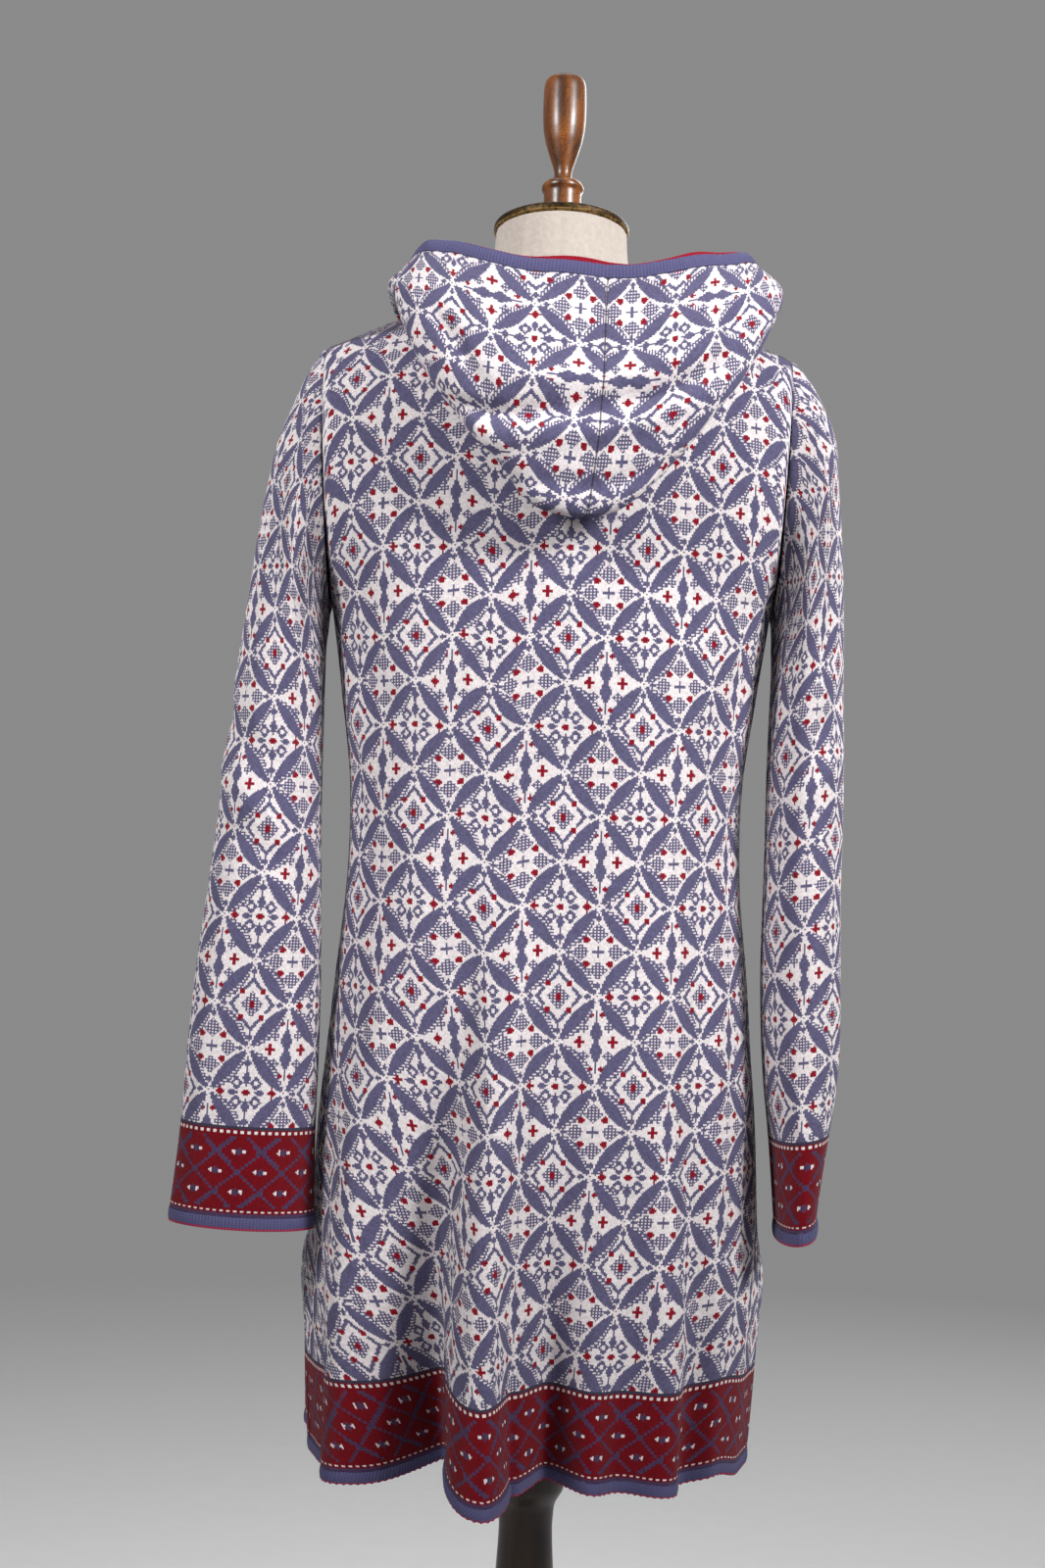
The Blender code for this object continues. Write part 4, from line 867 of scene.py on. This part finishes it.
def buttons(material, thread):
    pieces = []
    for index in range(BUTTON_COUNT):
        rise = front_rise(TOP_BUTTON_Z + (LOW_BUTTON_Z - TOP_BUTTON_Z) * index / (BUTTON_COUNT - 1))
        span = band_points(np.array([[-0.004, 0.004]]), np.array([[rise - 0.002], [rise + 0.002]]))
        normal = unit(np.cross(span[0, 1] - span[0, 0], span[1, 0] - span[0, 0]))
        normal = normal if normal[1] > 0 else -normal
        normal[0] = 0.0
        normal = Vector(unit(normal))
        place = Vector(span.reshape(-1, 3).mean(0)) + normal * (WALL + BUTTON_STAND)
        button = turned(f"button_{index + 1}_disc", BUTTON_PROFILE, material, steps=48, rounding=1)
        turn = normal.to_track_quat("Z", "Y").to_matrix().to_4x4()
        bm = bmesh.new()
        bm.from_mesh(button.data)
        for x, y in ((1, 1), (1, -1), (-1, 1), (-1, -1)):
            at = Matrix.Translation((x * 0.0016, y * 0.0016, 0.0026))
            made = bmesh.ops.create_uvsphere(bm, u_segments=10, v_segments=6, radius=0.0006, matrix=at)
            for face in {face for vert in made["verts"] for face in vert.link_faces}:
                face.material_index = 1
                face.smooth = True
        bm.to_mesh(button.data)
        bm.free()
        button.data.materials.append(thread)
        button.data.transform(Matrix.Translation(place) @ turn)
        pieces.append(button)
    return pieces


def neck_piece(material):
    """The neck's linen cover, drawn up over the neck from the cloth's neckline to the tilted cap."""
    turn = np.linspace(0, 2 * np.pi, 144, endpoint=False)[None, :]
    share = np.linspace(0.0, 1.0, 60)[:, None]
    low_x, low_y = NECK_X - 0.0135, np.where(np.sin(turn) > 0, NECK_FRONT_DEPTH, NECK_BACK_DEPTH) - 0.0145
    low_z = NECK_Z - 0.004 - np.where(np.sin(turn) > 0, 0.030, 0.006) * np.abs(np.sin(turn))
    base_x, base_y = low_x * np.cos(turn), low_y * np.sin(turn)
    top_x, top_y = NECK_TOP_RADIUS * np.cos(turn), NECK_TOP_RADIUS * np.sin(turn)
    top_z = NECK_TOP_Z - math.tan(CAP_TILT) * top_y - 0.0006
    blend = 1 - (1 - share) ** 2
    x = base_x + (top_x - base_x) * blend
    y = base_y + (top_y - base_y) * blend
    z = low_z + (top_z - low_z) * share
    folds = 0.00035 * np.sin(turn * 23 + 2.2 * np.sin(turn * 5)) + 0.0002 * np.sin(turn * 41 + 1.3)
    roll = 0.0012 * np.exp(-(((share - 0.04) / 0.05) ** 2))
    out = 1 + (folds * (1 - share * 0.4) + roll) / 0.055
    points = joined(x * out, y * out, z)
    uv = joined(turn * 0.055, share * 0.06)
    faces = grid_faces(0, *points.shape[:2], wrap=True).tolist()
    return new_piece("neck_cloth", points.reshape(-1, 3), faces, material, uv.reshape(-1, 2))


# Finishes
class Term:
    """A number in a material's node tree, so that a pattern reads as arithmetic."""

    def __init__(self, socket):
        self.socket = socket

    def made(self, operation, *others):
        node = self.socket.id_data.nodes.new("ShaderNodeMath")
        node.operation = operation
        for slot, other in zip(node.inputs, (self, *others)):
            fill(slot, other)
        return Term(node.outputs[0])

    def __rsub__(self, other):
        return (self * -1.0) + other

    def folded(self):
        """The distance to the nearest whole number."""
        return self.made("PINGPONG", 0.5)

    def odd(self):
        """1 where the whole number is odd."""
        return (self * 0.5).fract() > 0.25


for method, operation in (
    ("__add__", "ADD"), ("__radd__", "ADD"), ("__sub__", "SUBTRACT"), ("__mul__", "MULTIPLY"),
    ("__rmul__", "MULTIPLY"), ("__truediv__", "DIVIDE"), ("__lt__", "LESS_THAN"), ("__gt__", "GREATER_THAN"),
    ("floor", "FLOOR"), ("fract", "FRACT"), ("abs", "ABSOLUTE"), ("least", "MINIMUM"), ("most", "MAXIMUM"),
):
    setattr(Term, method, partialmethod(Term.made, operation))


def fill(slot, value):
    """Links a Term or a socket into a slot, or sets the slot to a plain value."""
    value = value.socket if isinstance(value, Term) else value
    if isinstance(value, bpy.types.NodeSocket):
        slot.id_data.links.new(value, slot)
    else:
        slot.default_value = value


def node_with(tree, kind, **inputs):
    """A shader node with its inputs filled; an underscore stands for a space in an input's name."""
    node = tree.nodes.new("ShaderNode" + kind)
    for key, value in inputs.items():
        fill(node.inputs[key.replace("_", " ")], value)
    return node


def linear(colour):
    """An sRGB colour of 0 to 255 as linear RGBA."""
    shares = [value / 255 for value in colour]
    return [s / 12.92 if s <= 0.04045 else ((s + 0.055) / 1.055) ** 2.4 for s in shares] + [1.0]


def new_finish(name, roughness, colour, **settings):
    """A material named after its slot, with its node tree and its shader."""
    material = bpy.data.materials.new(name)
    material.use_nodes = True
    material.diffuse_color = linear(colour)
    shader = material.node_tree.nodes["Principled BSDF"]
    for key, value in {"Roughness": roughness, "Base_Color": linear(colour), **settings}.items():
        shader.inputs[key.replace("_", " ")].default_value = value
    return material, material.node_tree, shader


def mixed(share, low, high):
    """Between two colours, each an sRGB colour or a socket, by a Term."""
    node = share.socket.id_data.nodes.new("ShaderNodeMix")
    node.data_type = "RGBA"
    for index, value in ((0, share), (6, low), (7, high)):
        fill(node.inputs[index], linear(value) if isinstance(value, tuple) else value)
    return node.outputs[2]


def painted(shader, colour, tone_and_shade=None):
    """Gives a shader its colour, made lighter or darker by a Term round 1; the knits pass one that holds
    both random tone and painted shade.
    """
    if tone_and_shade is not None:
        colour = node_with(shader.id_data, "HueSaturation", Color=colour, Value=tone_and_shade).outputs["Color"]
    fill(shader.inputs["Base Color"], colour)


def bumped(shader, height, distance):
    node = node_with(shader.id_data, "Bump", Strength=1.0, Distance=distance, Height=height)
    fill(shader.inputs["Normal"], node.outputs["Normal"])


def vector_parts(socket):
    node = socket.id_data.nodes.new("ShaderNodeSeparateXYZ")
    fill(node.inputs[0], socket)
    return [Term(part) for part in node.outputs]


def object_place(tree):
    return tree.nodes.new("ShaderNodeTexCoord").outputs["Object"]


def cloth_lengths(tree):
    source = tree.nodes.new("ShaderNodeUVMap")
    source.uv_map = "cloth"
    return vector_parts(source.outputs["UV"])[:2]


def random_of(x, y):
    """A value from 0 to 1 for each pair of whole numbers."""
    tree = x.socket.id_data
    noise = tree.nodes.new("ShaderNodeTexWhiteNoise")
    noise.noise_dimensions = "2D"
    fill(noise.inputs["Vector"], node_with(tree, "CombineXYZ", X=x, Y=y).outputs[0])
    return Term(noise.outputs["Value"])


def soft_noise(tree, scale, detail=2.0, distortion=0.0, place=None):
    place = object_place(tree) if place is None else place
    noise = node_with(tree, "TexNoise", Vector=place, Scale=scale, Detail=detail, Distortion=distortion)
    return Term(noise.outputs["Fac"])


CREAM, BLUE, RED = (232, 223, 224), (92, 88, 119), (136, 6, 32)
TRIM_BLUE, DEEP_RED, DARK_BLUE, DUSK_BLUE = (80, 78, 114), (112, 0, 16), (56, 53, 74), (74, 54, 86)
SEAM_SHADE = (70, 62, 78)
WOOLLEN = {"Sheen_Weight": 0.05, "Sheen_Roughness": 0.5, "Specular_IOR_Level": 0.15}
RIB_WIDTH, RIB_STITCH, LINEN_THREADS, HIGHLIGHT_EDGE_HEIGHT = 0.0027, 0.0019, 1500.0, 0.0021
STITCH_WIDTH, STITCH_HEIGHT = 0.00135, 0.00114
CELL_HALF_WIDTH, CELL_HALF_HEIGHT = 0.02975, 0.0342
LATTICE_ACROSS, LATTICE_UP = -0.017, 0.0274
LENS_PLAIN_EDGE, LENS_DOTTED_EDGE, LENS_TEETH_FROM = 0.126, 0.178, 0.158
LENS_DOTS_FROM, LENS_DOTS_TO = 0.092, 0.134
LENS_TAPER, MOTIF_SCALE = 1.15, 1.4
# Heights of the border's bands above the hem
BORDER_TOP, BORDER_DARK_FROM, BORDER_LOW_LINE = 0.0692, 0.0670, 0.0018
BORDER_FIELD, BORDER_LOW_DOTS, BORDER_TOP_DOTS = (0.0072, 0.0612), (0.0030, 0.0050), (0.0634, 0.0656)
TRELLIS_HALF_WIDTH, TRELLIS_HALF_HEIGHT, TRELLIS_MIDDLE = 0.0176, 0.0156, 0.0345


def stitches(across, up):
    """The knit's stitches: column, row and the place within each, with the rows slanted into its V."""
    columns = across / STITCH_WIDTH
    column, inside = columns.floor(), columns.fract()
    slant = (inside - 0.5).abs()
    rows = up / STITCH_HEIGHT - slant * 0.9
    return column, rows.floor(), inside, rows.fract()


def disc(x, y, at_x, at_y, radius, squash=1.0):
    """Inside a round, in a quarter of a cell mirrored four ways. Lengths in mm."""
    away_x, away_y = x - at_x, (y - at_y) * squash
    return (away_x * away_x + away_y * away_y) < radius * radius


def lozenge(x, y, at_x, at_y, half_width, half_height):
    return ((x - at_x).abs() / half_width + (y - at_y).abs() / half_height) < 1.0


def motif_rosette(x, y, check):
    """An open flower of eight petals with a red heart, a bud above and below and a star on each side."""
    heart = disc(x, y, 0.0, 0.0, 2.0)
    petal = lozenge(x, y, 5.4, 5.2, 3.7, 4.2) * (1.0 - lozenge(x, y, 5.4, 5.2, 1.5, 1.8))
    petal = petal.most(lozenge(x, y, 0.0, 8.0, 2.5, 4.8)).most(lozenge(x, y, 7.6, 0.0, 3.6, 1.9))
    bud = lozenge(x, y, 0.0, 16.4, 3.0, 2.6).most((x < 0.8) * (y > 12.0) * (y < 20.0))
    star = lozenge(x, y, 14.6, 0.0, 3.4, 1.7).most(lozenge(x, y, 14.6, 0.0, 1.7, 3.5))
    return petal.most(bud), heart.most(star)


def motif_frame(x, y, check):
    """A lozenge within a broken lozenge."""
    size = x / 13.2 + y / 15.4
    frame = (size > 0.80) * (size < 1.0) * ((x - y).abs() > 2.4)
    heart = (x / 6.2 + y / 7.6) < 1.0
    core = (x / 2.2 + y / 2.8) < 1.0
    red = disc(x, y, 6.0, 7.2, 1.7)
    tip = lozenge(x, y, 0.0, 18.2, 1.7, 2.6).most(lozenge(x, y, 15.8, 0.0, 2.6, 1.6))
    return frame.most(heart * (1.0 - core) * check).most(tip), core.most(red)


def motif_spindle(x, y, check):
    """An upright spindle between two red stars."""
    width = 3.6 - (y - 5.0).abs() * 0.45
    spindle = (x < width) * (y < 13.0) * (x < 4.0)
    stem = (x < 0.7) * (y < 17.0)
    arm = ((x - 9.4).abs() < 0.8) * (y < 2.9)
    arm = arm.most(((x - 9.4).abs() < 2.8) * (y < 0.7)).most(disc(x, y, 9.4, 0.0, 1.7))
    leaf = lozenge(x, y, 6.6, 7.8, 3.0, 3.4) * check
    seed = lozenge(x, y, 3.0, 14.6, 1.5, 2.0)
    return spindle.most(stem).most(leaf), arm.most(seed)


def motif_four(x, y, check):
    """Four checked lozenges with red seeds between them."""
    patch = lozenge(x, y, 0.0, 10.0, 5.6, 5.4) * check
    side = lozenge(x, y, 9.8, 0.0, 5.2, 5.2) * check
    seed = disc(x, y, 6.6, 6.6, 2.0)
    cross = ((x < 0.8) * (y < 3.6)).most((x < 3.6) * (y < 0.8))
    tip = lozenge(x, y, 0.0, 18.4, 1.6, 2.4).most(lozenge(x, y, 16.6, 0.0, 2.2, 1.5))
    return patch.most(side).most(cross).most(tip), seed


def half_lens(away, dotted_side, along, row):
    """The lens on one kind of lattice line: solid, with a row of dots inside one of its edges."""
    reach = away / (along * (1.0 - along) * 4.0).made("POWER", LENS_TAPER)
    plain = (reach < LENS_PLAIN_EDGE) * (1.0 - dotted_side)
    odd = row.odd()
    gap = (reach > LENS_DOTS_FROM) * (reach < LENS_DOTS_TO) * odd
    teeth = (reach > LENS_TEETH_FROM) * odd
    dotted = (reach < LENS_DOTTED_EDGE) * (1.0 - gap) * (1.0 - teeth) * dotted_side
    return plain.most(dotted)


def middles(column, row):
    """Where a stitch's middle lies."""
    return (column + 0.5) * STITCH_WIDTH, (row + 0.5) * STITCH_HEIGHT


def diagonals(across, up, half_width, half_height):
    """Places along the two diagonals of a lattice of such cells."""
    p, q = across / half_width, up / half_height
    return (p + q) * 0.5, (p - q) * 0.5


def lattice(column, row):
    """The cream ground's pattern: blue where the first term is 1 and red where the second is."""
    across, up = middles(column, row)
    s, t = diagonals(across - LATTICE_ACROSS, up - LATTICE_UP, CELL_HALF_WIDTH, CELL_HALF_HEIGHT)
    in_s, in_t = s.fract(), t.fract()
    near_s, near_t = in_s.folded(), in_t.folded()
    check = 1.0 - column.odd() * row.odd()
    lens = half_lens(near_t, in_t < 0.5, in_s, row).most(half_lens(near_s, in_s < 0.5, in_t, row))
    node = near_s + near_t
    lens = lens * (node > 0.065)
    lens = lens.most((node < 0.028) * (column + row).odd())
    half_s, half_t = in_s - 0.5, in_t - 0.5
    x = (half_s + half_t).abs() * (CELL_HALF_WIDTH * 1000 / MOTIF_SCALE)
    y = (half_s - half_t).abs() * (CELL_HALF_HEIGHT * 1000 / MOTIF_SCALE)
    odd_s, odd_t = s.floor().odd(), t.floor().odd()
    even_s, even_t = 1.0 - odd_s, 1.0 - odd_t
    blue, red = lens, None
    for share, motif in (
        (even_s * even_t, motif_rosette),
        (odd_s * even_t, motif_spindle),
        (even_s * odd_t, motif_four),
        (odd_s * odd_t, motif_frame),
    ):
        motif_blue, motif_red = motif(x, y, check)
        blue = blue.most(motif_blue * share)
        red = motif_red * share if red is None else red.most(motif_red * share)
    return blue, red * (1.0 - lens)


def between(value, low, high):
    return (value > low) * (value < high)


def border(column, row):
    """The red border's pattern by height: terms for blue, dark blue and cream on red, and where it ends."""
    cell = TRELLIS_HALF_WIDTH, TRELLIS_HALF_HEIGHT
    across, up = middles((column * 0.5).floor() * 2.0 + 0.5, (row * 0.5).floor() * 2.0 + 0.5)
    near_s, near_t = [place.fract().folded() for place in diagonals(across, up - TRELLIS_MIDDLE, *cell)]
    line = (near_s.least(near_t) < 0.05).most((near_s + near_t) < 0.15)
    across, up = middles(column, row)
    s, t = [place.fract() - 0.5 for place in diagonals(across, up - TRELLIS_MIDDLE, *cell)]
    x, y = (s + t).abs() * (TRELLIS_HALF_WIDTH * 1000), (s - t).abs() * (TRELLIS_HALF_HEIGHT * 1000)
    field = between(up, *BORDER_FIELD)
    eye = lozenge(x, y, 0.0, 0.0, 3.1, 3.6) * field
    spark = lozenge(x, y, 3.9, 0.0, 1.5, 2.2) * field
    beat = (column * 0.25).fract() < 0.5
    blue = (line * field).most(up < BORDER_LOW_LINE).most(eye)
    pale = spark.most(between(up, *BORDER_LOW_DOTS) * beat).most(between(up, *BORDER_TOP_DOTS) * beat)
    return blue, between(up, BORDER_DARK_FROM, BORDER_TOP), pale, up < BORDER_TOP


def jacquard_finish():
    material, tree, shader = new_finish("jacquard_knit", 0.88, (188, 184, 194), **WOOLLEN)
    across, up = cloth_lengths(tree)
    column, row, inside, within = stitches(across, up)
    blue, red = lattice(column, row)
    colour = mixed(blue, CREAM, BLUE)
    colour = mixed(red, colour, RED)
    line, dark, pale, low = border(column, row)
    edge = mixed(line, DEEP_RED, DUSK_BLUE)
    edge = mixed(dark, edge, DARK_BLUE)
    edge = mixed(pale, edge, CREAM)
    colour = mixed(low, colour, edge)
    seam = (up > 0.9) * (up < HOOD_SEAM_AT + 0.0006)
    colour = mixed(seam * 0.7, colour, SEAM_SHADE)
    # Two legs to a stitch, each round, with a dip between rows
    leg = 1.0 - ((inside * 2.0).fract() - 0.5).abs() * 2.0
    relief = leg * (1.0 - (within - 0.5).abs() * 0.9)
    bumped(shader, relief, 0.00035)
    # The colour's tone varies at random from stitch to stitch, and is also painted darker in the dips
    # between the legs and rows as painted shade
    tone_and_shade = random_of(column, row) * (blue * 0.16 + 0.24) + relief * 0.28 + 0.71 - blue * 0.06
    painted(shader, colour, tone_and_shade)
    return material


def rib_finish(name, colour, under):
    """A trim knitted in fine upright ribs, with a line of another colour along its lower edge."""
    material, tree, shader = new_finish(name, 0.9, colour, **WOOLLEN)
    across, up = cloth_lengths(tree)
    ridge = 1.0 - ((across / RIB_WIDTH).fract() - 0.5).abs() * 2.0
    rows = (up / RIB_STITCH + ridge * 0.4).fract()
    relief = ridge * 0.75 + (1.0 - (rows - 0.5).abs() * 2.0) * 0.35
    bumped(shader, relief, 0.0007)
    # The tone is painted darker in the grooves between ribs and rows as painted shade, with a soft random
    # mottle
    tone_and_shade = relief * 0.34 + soft_noise(tree, 900.0) * 0.30 + 0.60
    painted(shader, mixed(up < 0.0014, colour, under), tone_and_shade)
    return material


def linen_finish():
    material, tree, shader = new_finish(
        "linen", 0.85, (215, 208, 198), Sheen_Weight=0.08, Specular_IOR_Level=0.2)
    x, _, z = vector_parts(object_place(tree))
    weave = (x * LINEN_THREADS).fract().folded() + (z * LINEN_THREADS).fract().folded()
    slub = soft_noise(tree, 260.0, 3.0)
    bumped(shader, weave * 0.5 + slub, 0.0004)
    painted(shader, mixed(slub, (176, 165, 155), (206, 195, 186)))
    return material


def wood_finish(name, low, high, gloss):
    """Turned wood with its grain along the turned axis and a dark speckle."""
    material, tree, shader = new_finish(name, gloss, high, Coat_Weight=0.15, Coat_Roughness=0.25)
    stretch = node_with(tree, "Mapping", Vector=object_place(tree), Scale=(60.0, 60.0, 9.0))
    figure = soft_noise(tree, 2.0, 6.0, 0.6, stretch.outputs["Vector"])
    speckle = soft_noise(tree, 900.0, 1.0) > 0.55
    base = mixed(((figure - 0.3) * 2.2).most(0.0).least(1.0), low, high)
    painted(shader, mixed(speckle * 0.6, base, low))
    return material


def brass_finish():
    """Antique brass, dark on its top, with a painted highlight of bright gold along its lower edge."""
    material, tree, shader = new_finish("antique_brass", 0.42, (120, 95, 55), Metallic=0.85)
    _, _, height = vector_parts(object_place(tree))
    worn = soft_noise(tree, 320.0, 4.0)
    # The lower edge is painted bright gold as a painted highlight, in patches where the mottling is strong
    edge = (height < HIGHLIGHT_EDGE_HEIGHT) * ((worn > 0.44) * 0.7 + 0.3)
    base = mixed(((worn - 0.4) * 3.0).most(0.0).least(1.0), (40, 30, 18), (92, 68, 34))
    painted(shader, mixed(edge, base, (190, 154, 92)))
    bumped(shader, worn, 0.0006)
    return material


def button_finish():
    material, tree, shader = new_finish("button", 0.3, (66, 70, 112), Coat_Weight=0.4)
    painted(shader, mixed(soft_noise(tree, 420.0, 3.0), (52, 56, 96), (84, 90, 138)))
    return material


# Everything in place
KNIT = jacquard_finish()
TRIM = rib_finish("blue_knit", TRIM_BLUE, (150, 40, 70))
FACING = rib_finish("red_knit", RED, RED)
LINEN = linen_finish()
BRASS = brass_finish()
FINIAL_WOOD = wood_finish("brown_wood", (44, 20, 6), (150, 84, 22), 0.34)
DARK_WOOD = wood_finish("dark_wood", (26, 15, 8), (60, 35, 17), 0.4)
BUTTON = button_finish()
THREAD = new_finish("thread", 0.8, (205, 200, 195))[0]

back, front_right, front_left = body_pieces(KNIT)
hem = hem_piece(TRIM)
sleeve_right, cuff_right = sleeve_pieces("right", 1.0, RIGHT_SLEEVE, RIGHT_SLEEVE_CREASES, 21, KNIT, TRIM)
sleeve_left, cuff_left = sleeve_pieces("left", -1.0, LEFT_SLEEVE, LEFT_SLEEVE_CREASES, 22, KNIT, TRIM)
hood_left, hood_right, hood_edge, hood_facing = hood_pieces(KNIT, TRIM, FACING)
band_left = band_piece("front_band_left_knit", TRIM, 0.0)
band_right = band_piece("front_band_right_knit", TRIM, WALL + SEAM_GAP)
discs = buttons(BUTTON, THREAD)
neck = neck_piece(LINEN)
cap_place = (0.0, 0.0, NECK_TOP_Z)
cap = turned("neck_cap_turned", CAP_PROFILE, BRASS, cap_place, -CAP_TILT)
finial = turned("finial_turned", FINIAL_PROFILE, FINIAL_WOOD, cap_place, -CAP_TILT)
post = turned("stand_post_turned", POST_PROFILE, DARK_WOOD)
base = turned("stand_base_turned", BASE_PROFILE, DARK_WOOD)

for piece in (
    back, front_left, front_right, hem, sleeve_left, sleeve_right, cuff_left, cuff_right,
    hood_left, hood_right, hood_edge, hood_facing, band_left, band_right, cap, finial, post, base, *discs,
):
    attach(piece, "root")
    # A piece is named after its node, with one word added. Its material is named after its slot
    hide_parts(piece.name.rsplit("_", 1)[0])
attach(neck, "root")

form = bpy.data.objects["dress_form"]
for slot in form.material_slots:
    slot.material = LINEN


# Floor, light and camera
STUDIO_GREY, STUDIO_STRENGTH = (0.80, 0.80, 0.81, 1.0), 0.32


def floor_piece():
    """A pale floor that fades with distance into the studio's own grey, so that it has no horizon."""
    mesh = bpy.data.meshes.new("floor")
    mesh.from_pydata([(-12, -12, 0), (12, -12, 0), (12, 12, 0), (-12, 12, 0)], [], [(0, 1, 2, 3)])
    material, tree, shader = new_finish("floor_paper", 0.9, (224, 224, 224), Specular_IOR_Level=0.1)
    painted(shader, mixed(soft_noise(tree, 30.0), (222, 222, 223), (228, 228, 228)))
    x, y, _ = vector_parts(object_place(tree))
    fade = (((x * x + y * y).made("SQRT") - 0.8) / 2.6).most(0.0).least(1.0)
    glow = node_with(tree, "Emission", Color=STUDIO_GREY, Strength=STUDIO_STRENGTH)
    mix = node_with(tree, "MixShader", Fac=fade)
    fill(mix.inputs[1], shader.outputs[0])
    fill(mix.inputs[2], glow.outputs[0])
    fill(tree.nodes["Material Output"].inputs["Surface"], mix.outputs[0])
    mesh.materials.append(material)
    return placed("floor", mesh)


floor_piece()


def area_light(name, place, target, size, power, spread=180.0):
    data = bpy.data.lights.new(name, "AREA")
    data.shape, data.size, data.energy, data.spread = "DISK", size, power, math.radians(spread)
    item = placed(name, data)
    item.location = place
    item.rotation_euler = (Vector(target) - Vector(place)).to_track_quat("-Z", "Y").to_euler()


area_light("key", (2.3, -1.9, 2.7), (0.18, 0.0, 1.28), 0.9, 8.4, 38.0)
area_light("fill", (-2.2, -1.9, 2.7), (-0.17, 0.0, 1.27), 0.9, 5.1, 38.0)
area_light("front_key", (1.2, 3.0, 2.5), (0.0, 0.0, 1.05), 2.2, 50)
area_light("top", (0.0, 0.3, 3.4), (0.0, 0.0, 1.0), 1.6, 13)

world = bpy.context.scene.world = bpy.data.worlds.new("studio")
world.use_nodes = True
backdrop = world.node_tree.nodes["Background"].inputs
backdrop["Color"].default_value, backdrop["Strength"].default_value = STUDIO_GREY, STUDIO_STRENGTH

camera_data = bpy.data.cameras.new("camera")
camera_data.lens, camera_data.sensor_width, camera_data.sensor_fit = 58.5, 36.0, "AUTO"
camera = placed("camera", camera_data)
roll = math.radians(1.6)
camera.matrix_world = Matrix((
    (math.cos(roll), -math.sin(roll), 0.0, -0.019),
    (0.0, 0.0, -1.0, -2.05),
    (math.sin(roll), math.cos(roll), 0.0, 1.047),
    (0.0, 0.0, 0.0, 1.0),
))
bpy.context.scene.camera = camera
view = bpy.context.scene.view_settings
view.view_transform, view.look = "Standard", "None"
